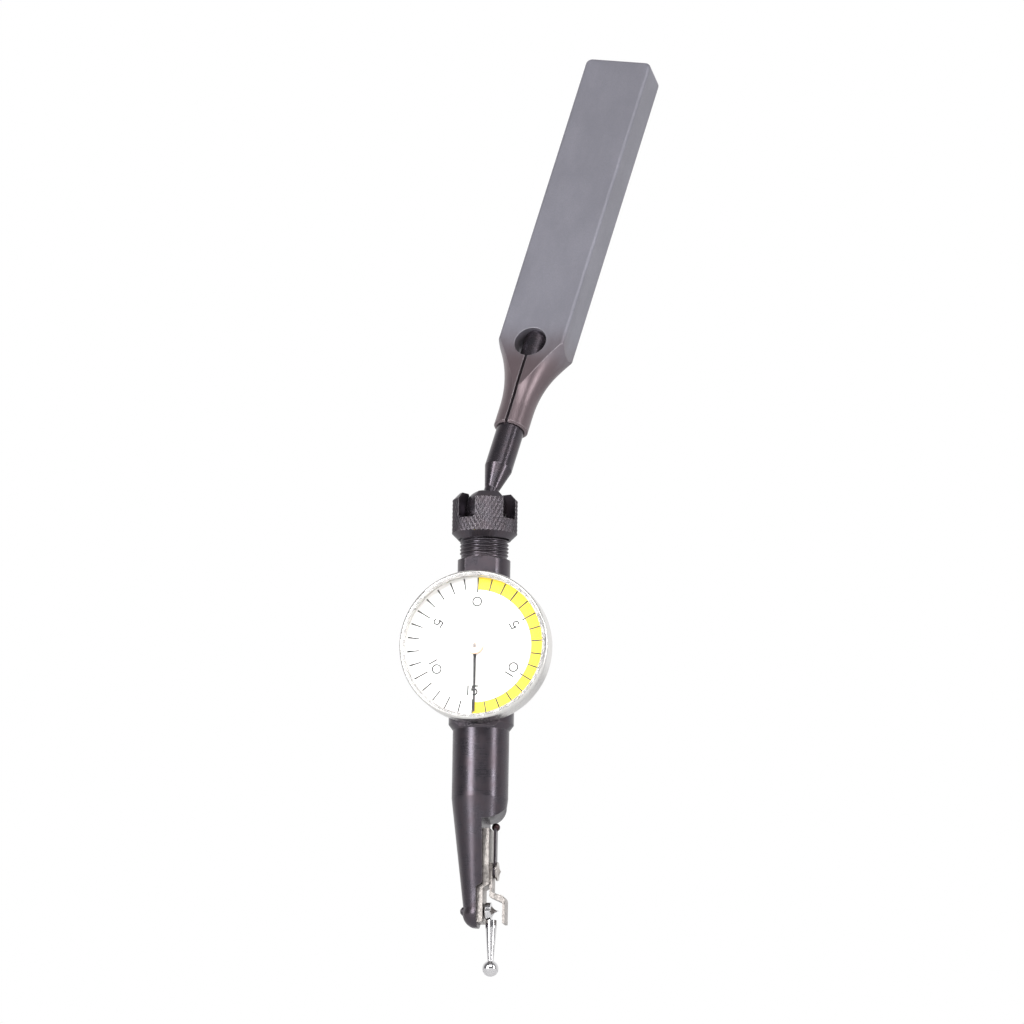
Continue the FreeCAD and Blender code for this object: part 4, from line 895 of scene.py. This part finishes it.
def look_from(settings):
    """The camera's right, upward and backward directions."""
    azimuth, elevation, roll = settings.azimuth, settings.elevation, settings.roll
    back = Vector((math.sin(azimuth) * math.cos(elevation), -math.cos(azimuth) * math.cos(elevation),
                   math.sin(elevation)))
    level = Vector((math.cos(azimuth), math.sin(azimuth), 0))
    upright = back.cross(level)
    up = upright * math.cos(roll) - level * math.sin(roll)
    right = level * math.cos(roll) + upright * math.sin(roll)
    return right, up, back


def add_lamp(name, place, target, width, height, power, colour=(1, 1, 1)):
    """A soft rectangular lamp that faces the target."""
    lamp = bpy.data.lights.new(name, "AREA")
    lamp.shape = "RECTANGLE"
    lamp.size = width
    lamp.size_y = height
    lamp.energy = power
    lamp.color = colour
    made = bpy.data.objects.new(name, lamp)
    made.location = place
    made.rotation_euler = (target - place).to_track_quat("-Z", "Y").to_euler()
    bpy.context.scene.collection.objects.link(made)
    return made


class INDICATOR_OT_stage(bpy.types.Operator):
    """Sets the camera, the lamps, the floor and the backdrop"""
    bl_idname = "indicator.stage"
    bl_label = "Stage"

    def execute(self, context):
        settings = context.scene.indicator_stage
        scene = context.scene
        scene.view_settings.view_transform = "Standard"
        self.place_camera(scene, settings)
        self.light(settings)
        self.lay_floor(settings)
        self.colour_world(scene, settings)
        return {"FINISHED"}

    def place_camera(self, scene, settings):
        right, up, back = look_from(settings)
        camera = bpy.data.cameras.new("camera")
        camera.lens = settings.lens
        camera.clip_end = 20
        distance = settings.view_width * settings.lens / camera.sensor_width
        aim = DIAL + right * settings.aim_across + up * settings.aim_up
        made = bpy.data.objects.new("camera", camera)
        made.matrix_world = Matrix.Translation(aim + back * distance) @ Matrix(
            (right, up, back)).transposed().to_4x4()
        scene.collection.objects.link(made)
        scene.camera = made

    def light(self, settings):
        right, up, back = look_from(settings)
        target = DIAL + up * 20 * MM
        for name, side, rise, near, width, height, power in (
                ("key_lamp", -0.62, 0.25, 0.75, 0.30, 0.9, 9.0),
                ("fill_lamp", 0.80, 0.15, 0.55, 0.16, 0.9, 5.0),
                ("front_lamp", 0.05, 0.75, 0.9, 0.7, 0.4, 5.0)):
            add_lamp(name, target + right * side + UP * rise + back * near, target, width, height, power)

    def lay_floor(self, settings):
        low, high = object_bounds()
        form = bmesh.new()
        reach = 3.0
        level = low.z - settings.floor_gap
        corners = [form.verts.new((x * reach, y * reach, level))
                   for x, y in ((-1, -1), (1, -1), (1, 1), (-1, 1))]
        form.faces.new(corners)
        mesh = bpy.data.meshes.new("floor")
        form.to_mesh(mesh)
        form.free()
        finish = Finish("floor_paper")
        place = finish.node("ShaderNodeTexCoord", output="Object")
        grain = finish.noise(place, 300.0, 3.0, 0.6)
        paper = finish.node("ShaderNodeBsdfPrincipled", None, {
            "Base Color": finish.mix(grain, (0.86, 0.86, 0.86), (0.9, 0.9, 0.9)),
            "Roughness": 0.8}, output="BSDF")
        beneath = finish.node("ShaderNodeNewGeometry", output="Backfacing")
        clear = finish.node("ShaderNodeBsdfTransparent")
        mixed = finish.node("ShaderNodeMixShader", None, {0: beneath, 1: paper, 2: clear})
        finish.show(mixed)
        mesh.materials.append(finish.owner)
        floor = bpy.data.objects.new("floor", mesh)
        bpy.context.scene.collection.objects.link(floor)
        floor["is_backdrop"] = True

    def colour_world(self, scene, settings):
        finish = Finish("studio", "worlds")
        scene.world = finish.owner
        way = finish.node("ShaderNodeTexCoord", output="Generated")
        backward = finish.node("ShaderNodeVectorMath", {"operation": "DOT_PRODUCT"},
                               {0: way, 1: -FRONT}, output="Value")
        room = finish.band(backward, -0.2, 0.5)
        seen = finish.node("ShaderNodeLightPath", output="Is Camera Ray")
        glossy = finish.node("ShaderNodeLightPath", output="Is Glossy Ray")
        through = finish.node("ShaderNodeLightPath", output="Is Transmission Ray")
        reflected = finish.mix(room, (0.22, 0.22, 0.23), settings.backdrop)
        ambient = finish.mix(glossy, (0.55, 0.55, 0.56), reflected)
        colour = finish.mix((seen + through).clamped(), ambient, settings.backdrop)
        background = finish.node("ShaderNodeBackground", None, {"Color": colour, "Strength": 1.0})
        finish.show(background)


OPERATORS = (INDICATOR_OT_holder, INDICATOR_OT_nut, INDICATOR_OT_body, INDICATOR_OT_bezel,
             INDICATOR_OT_dial, INDICATOR_OT_movement, INDICATOR_OT_nose, INDICATOR_OT_stage)
SETTINGS = {"indicator_finish": FinishSettings, "indicator_nut": NutSettings,
            "indicator_dial": DialSettings, "indicator_stage": StageSettings}


class INDICATOR_PT_pieces(bpy.types.Panel):
    """Lists the steps that dress the indicator"""
    bl_idname = "INDICATOR_PT_pieces"
    bl_label = "Dial test indicator"
    bl_space_type = "VIEW_3D"
    bl_region_type = "UI"
    bl_category = "Indicator"

    def draw(self, context):
        for operator in OPERATORS:
            self.layout.operator(operator.bl_idname)
        for name, settings in SETTINGS.items():
            box = self.layout.box()
            for key in settings.__annotations__:
                box.prop(getattr(context.scene, name), key)


def register():
    for made in (*SETTINGS.values(), *OPERATORS, INDICATOR_PT_pieces):
        bpy.utils.register_class(made)
    for name, settings in SETTINGS.items():
        setattr(bpy.types.Scene, name, PointerProperty(type=settings))


def unregister():
    for name in SETTINGS:
        delattr(bpy.types.Scene, name)
    for made in reversed((*SETTINGS.values(), *OPERATORS, INDICATOR_PT_pieces)):
        bpy.utils.unregister_class(made)


def main():
    register()
    bpy.ops.indicator.holder()
    bpy.ops.indicator.nut()
    bpy.ops.indicator.body()
    bpy.ops.indicator.bezel()
    bpy.ops.indicator.dial()
    bpy.ops.indicator.movement()
    bpy.ops.indicator.nose()
    bpy.ops.indicator.stage()


if __name__ == "__main__":
    main()
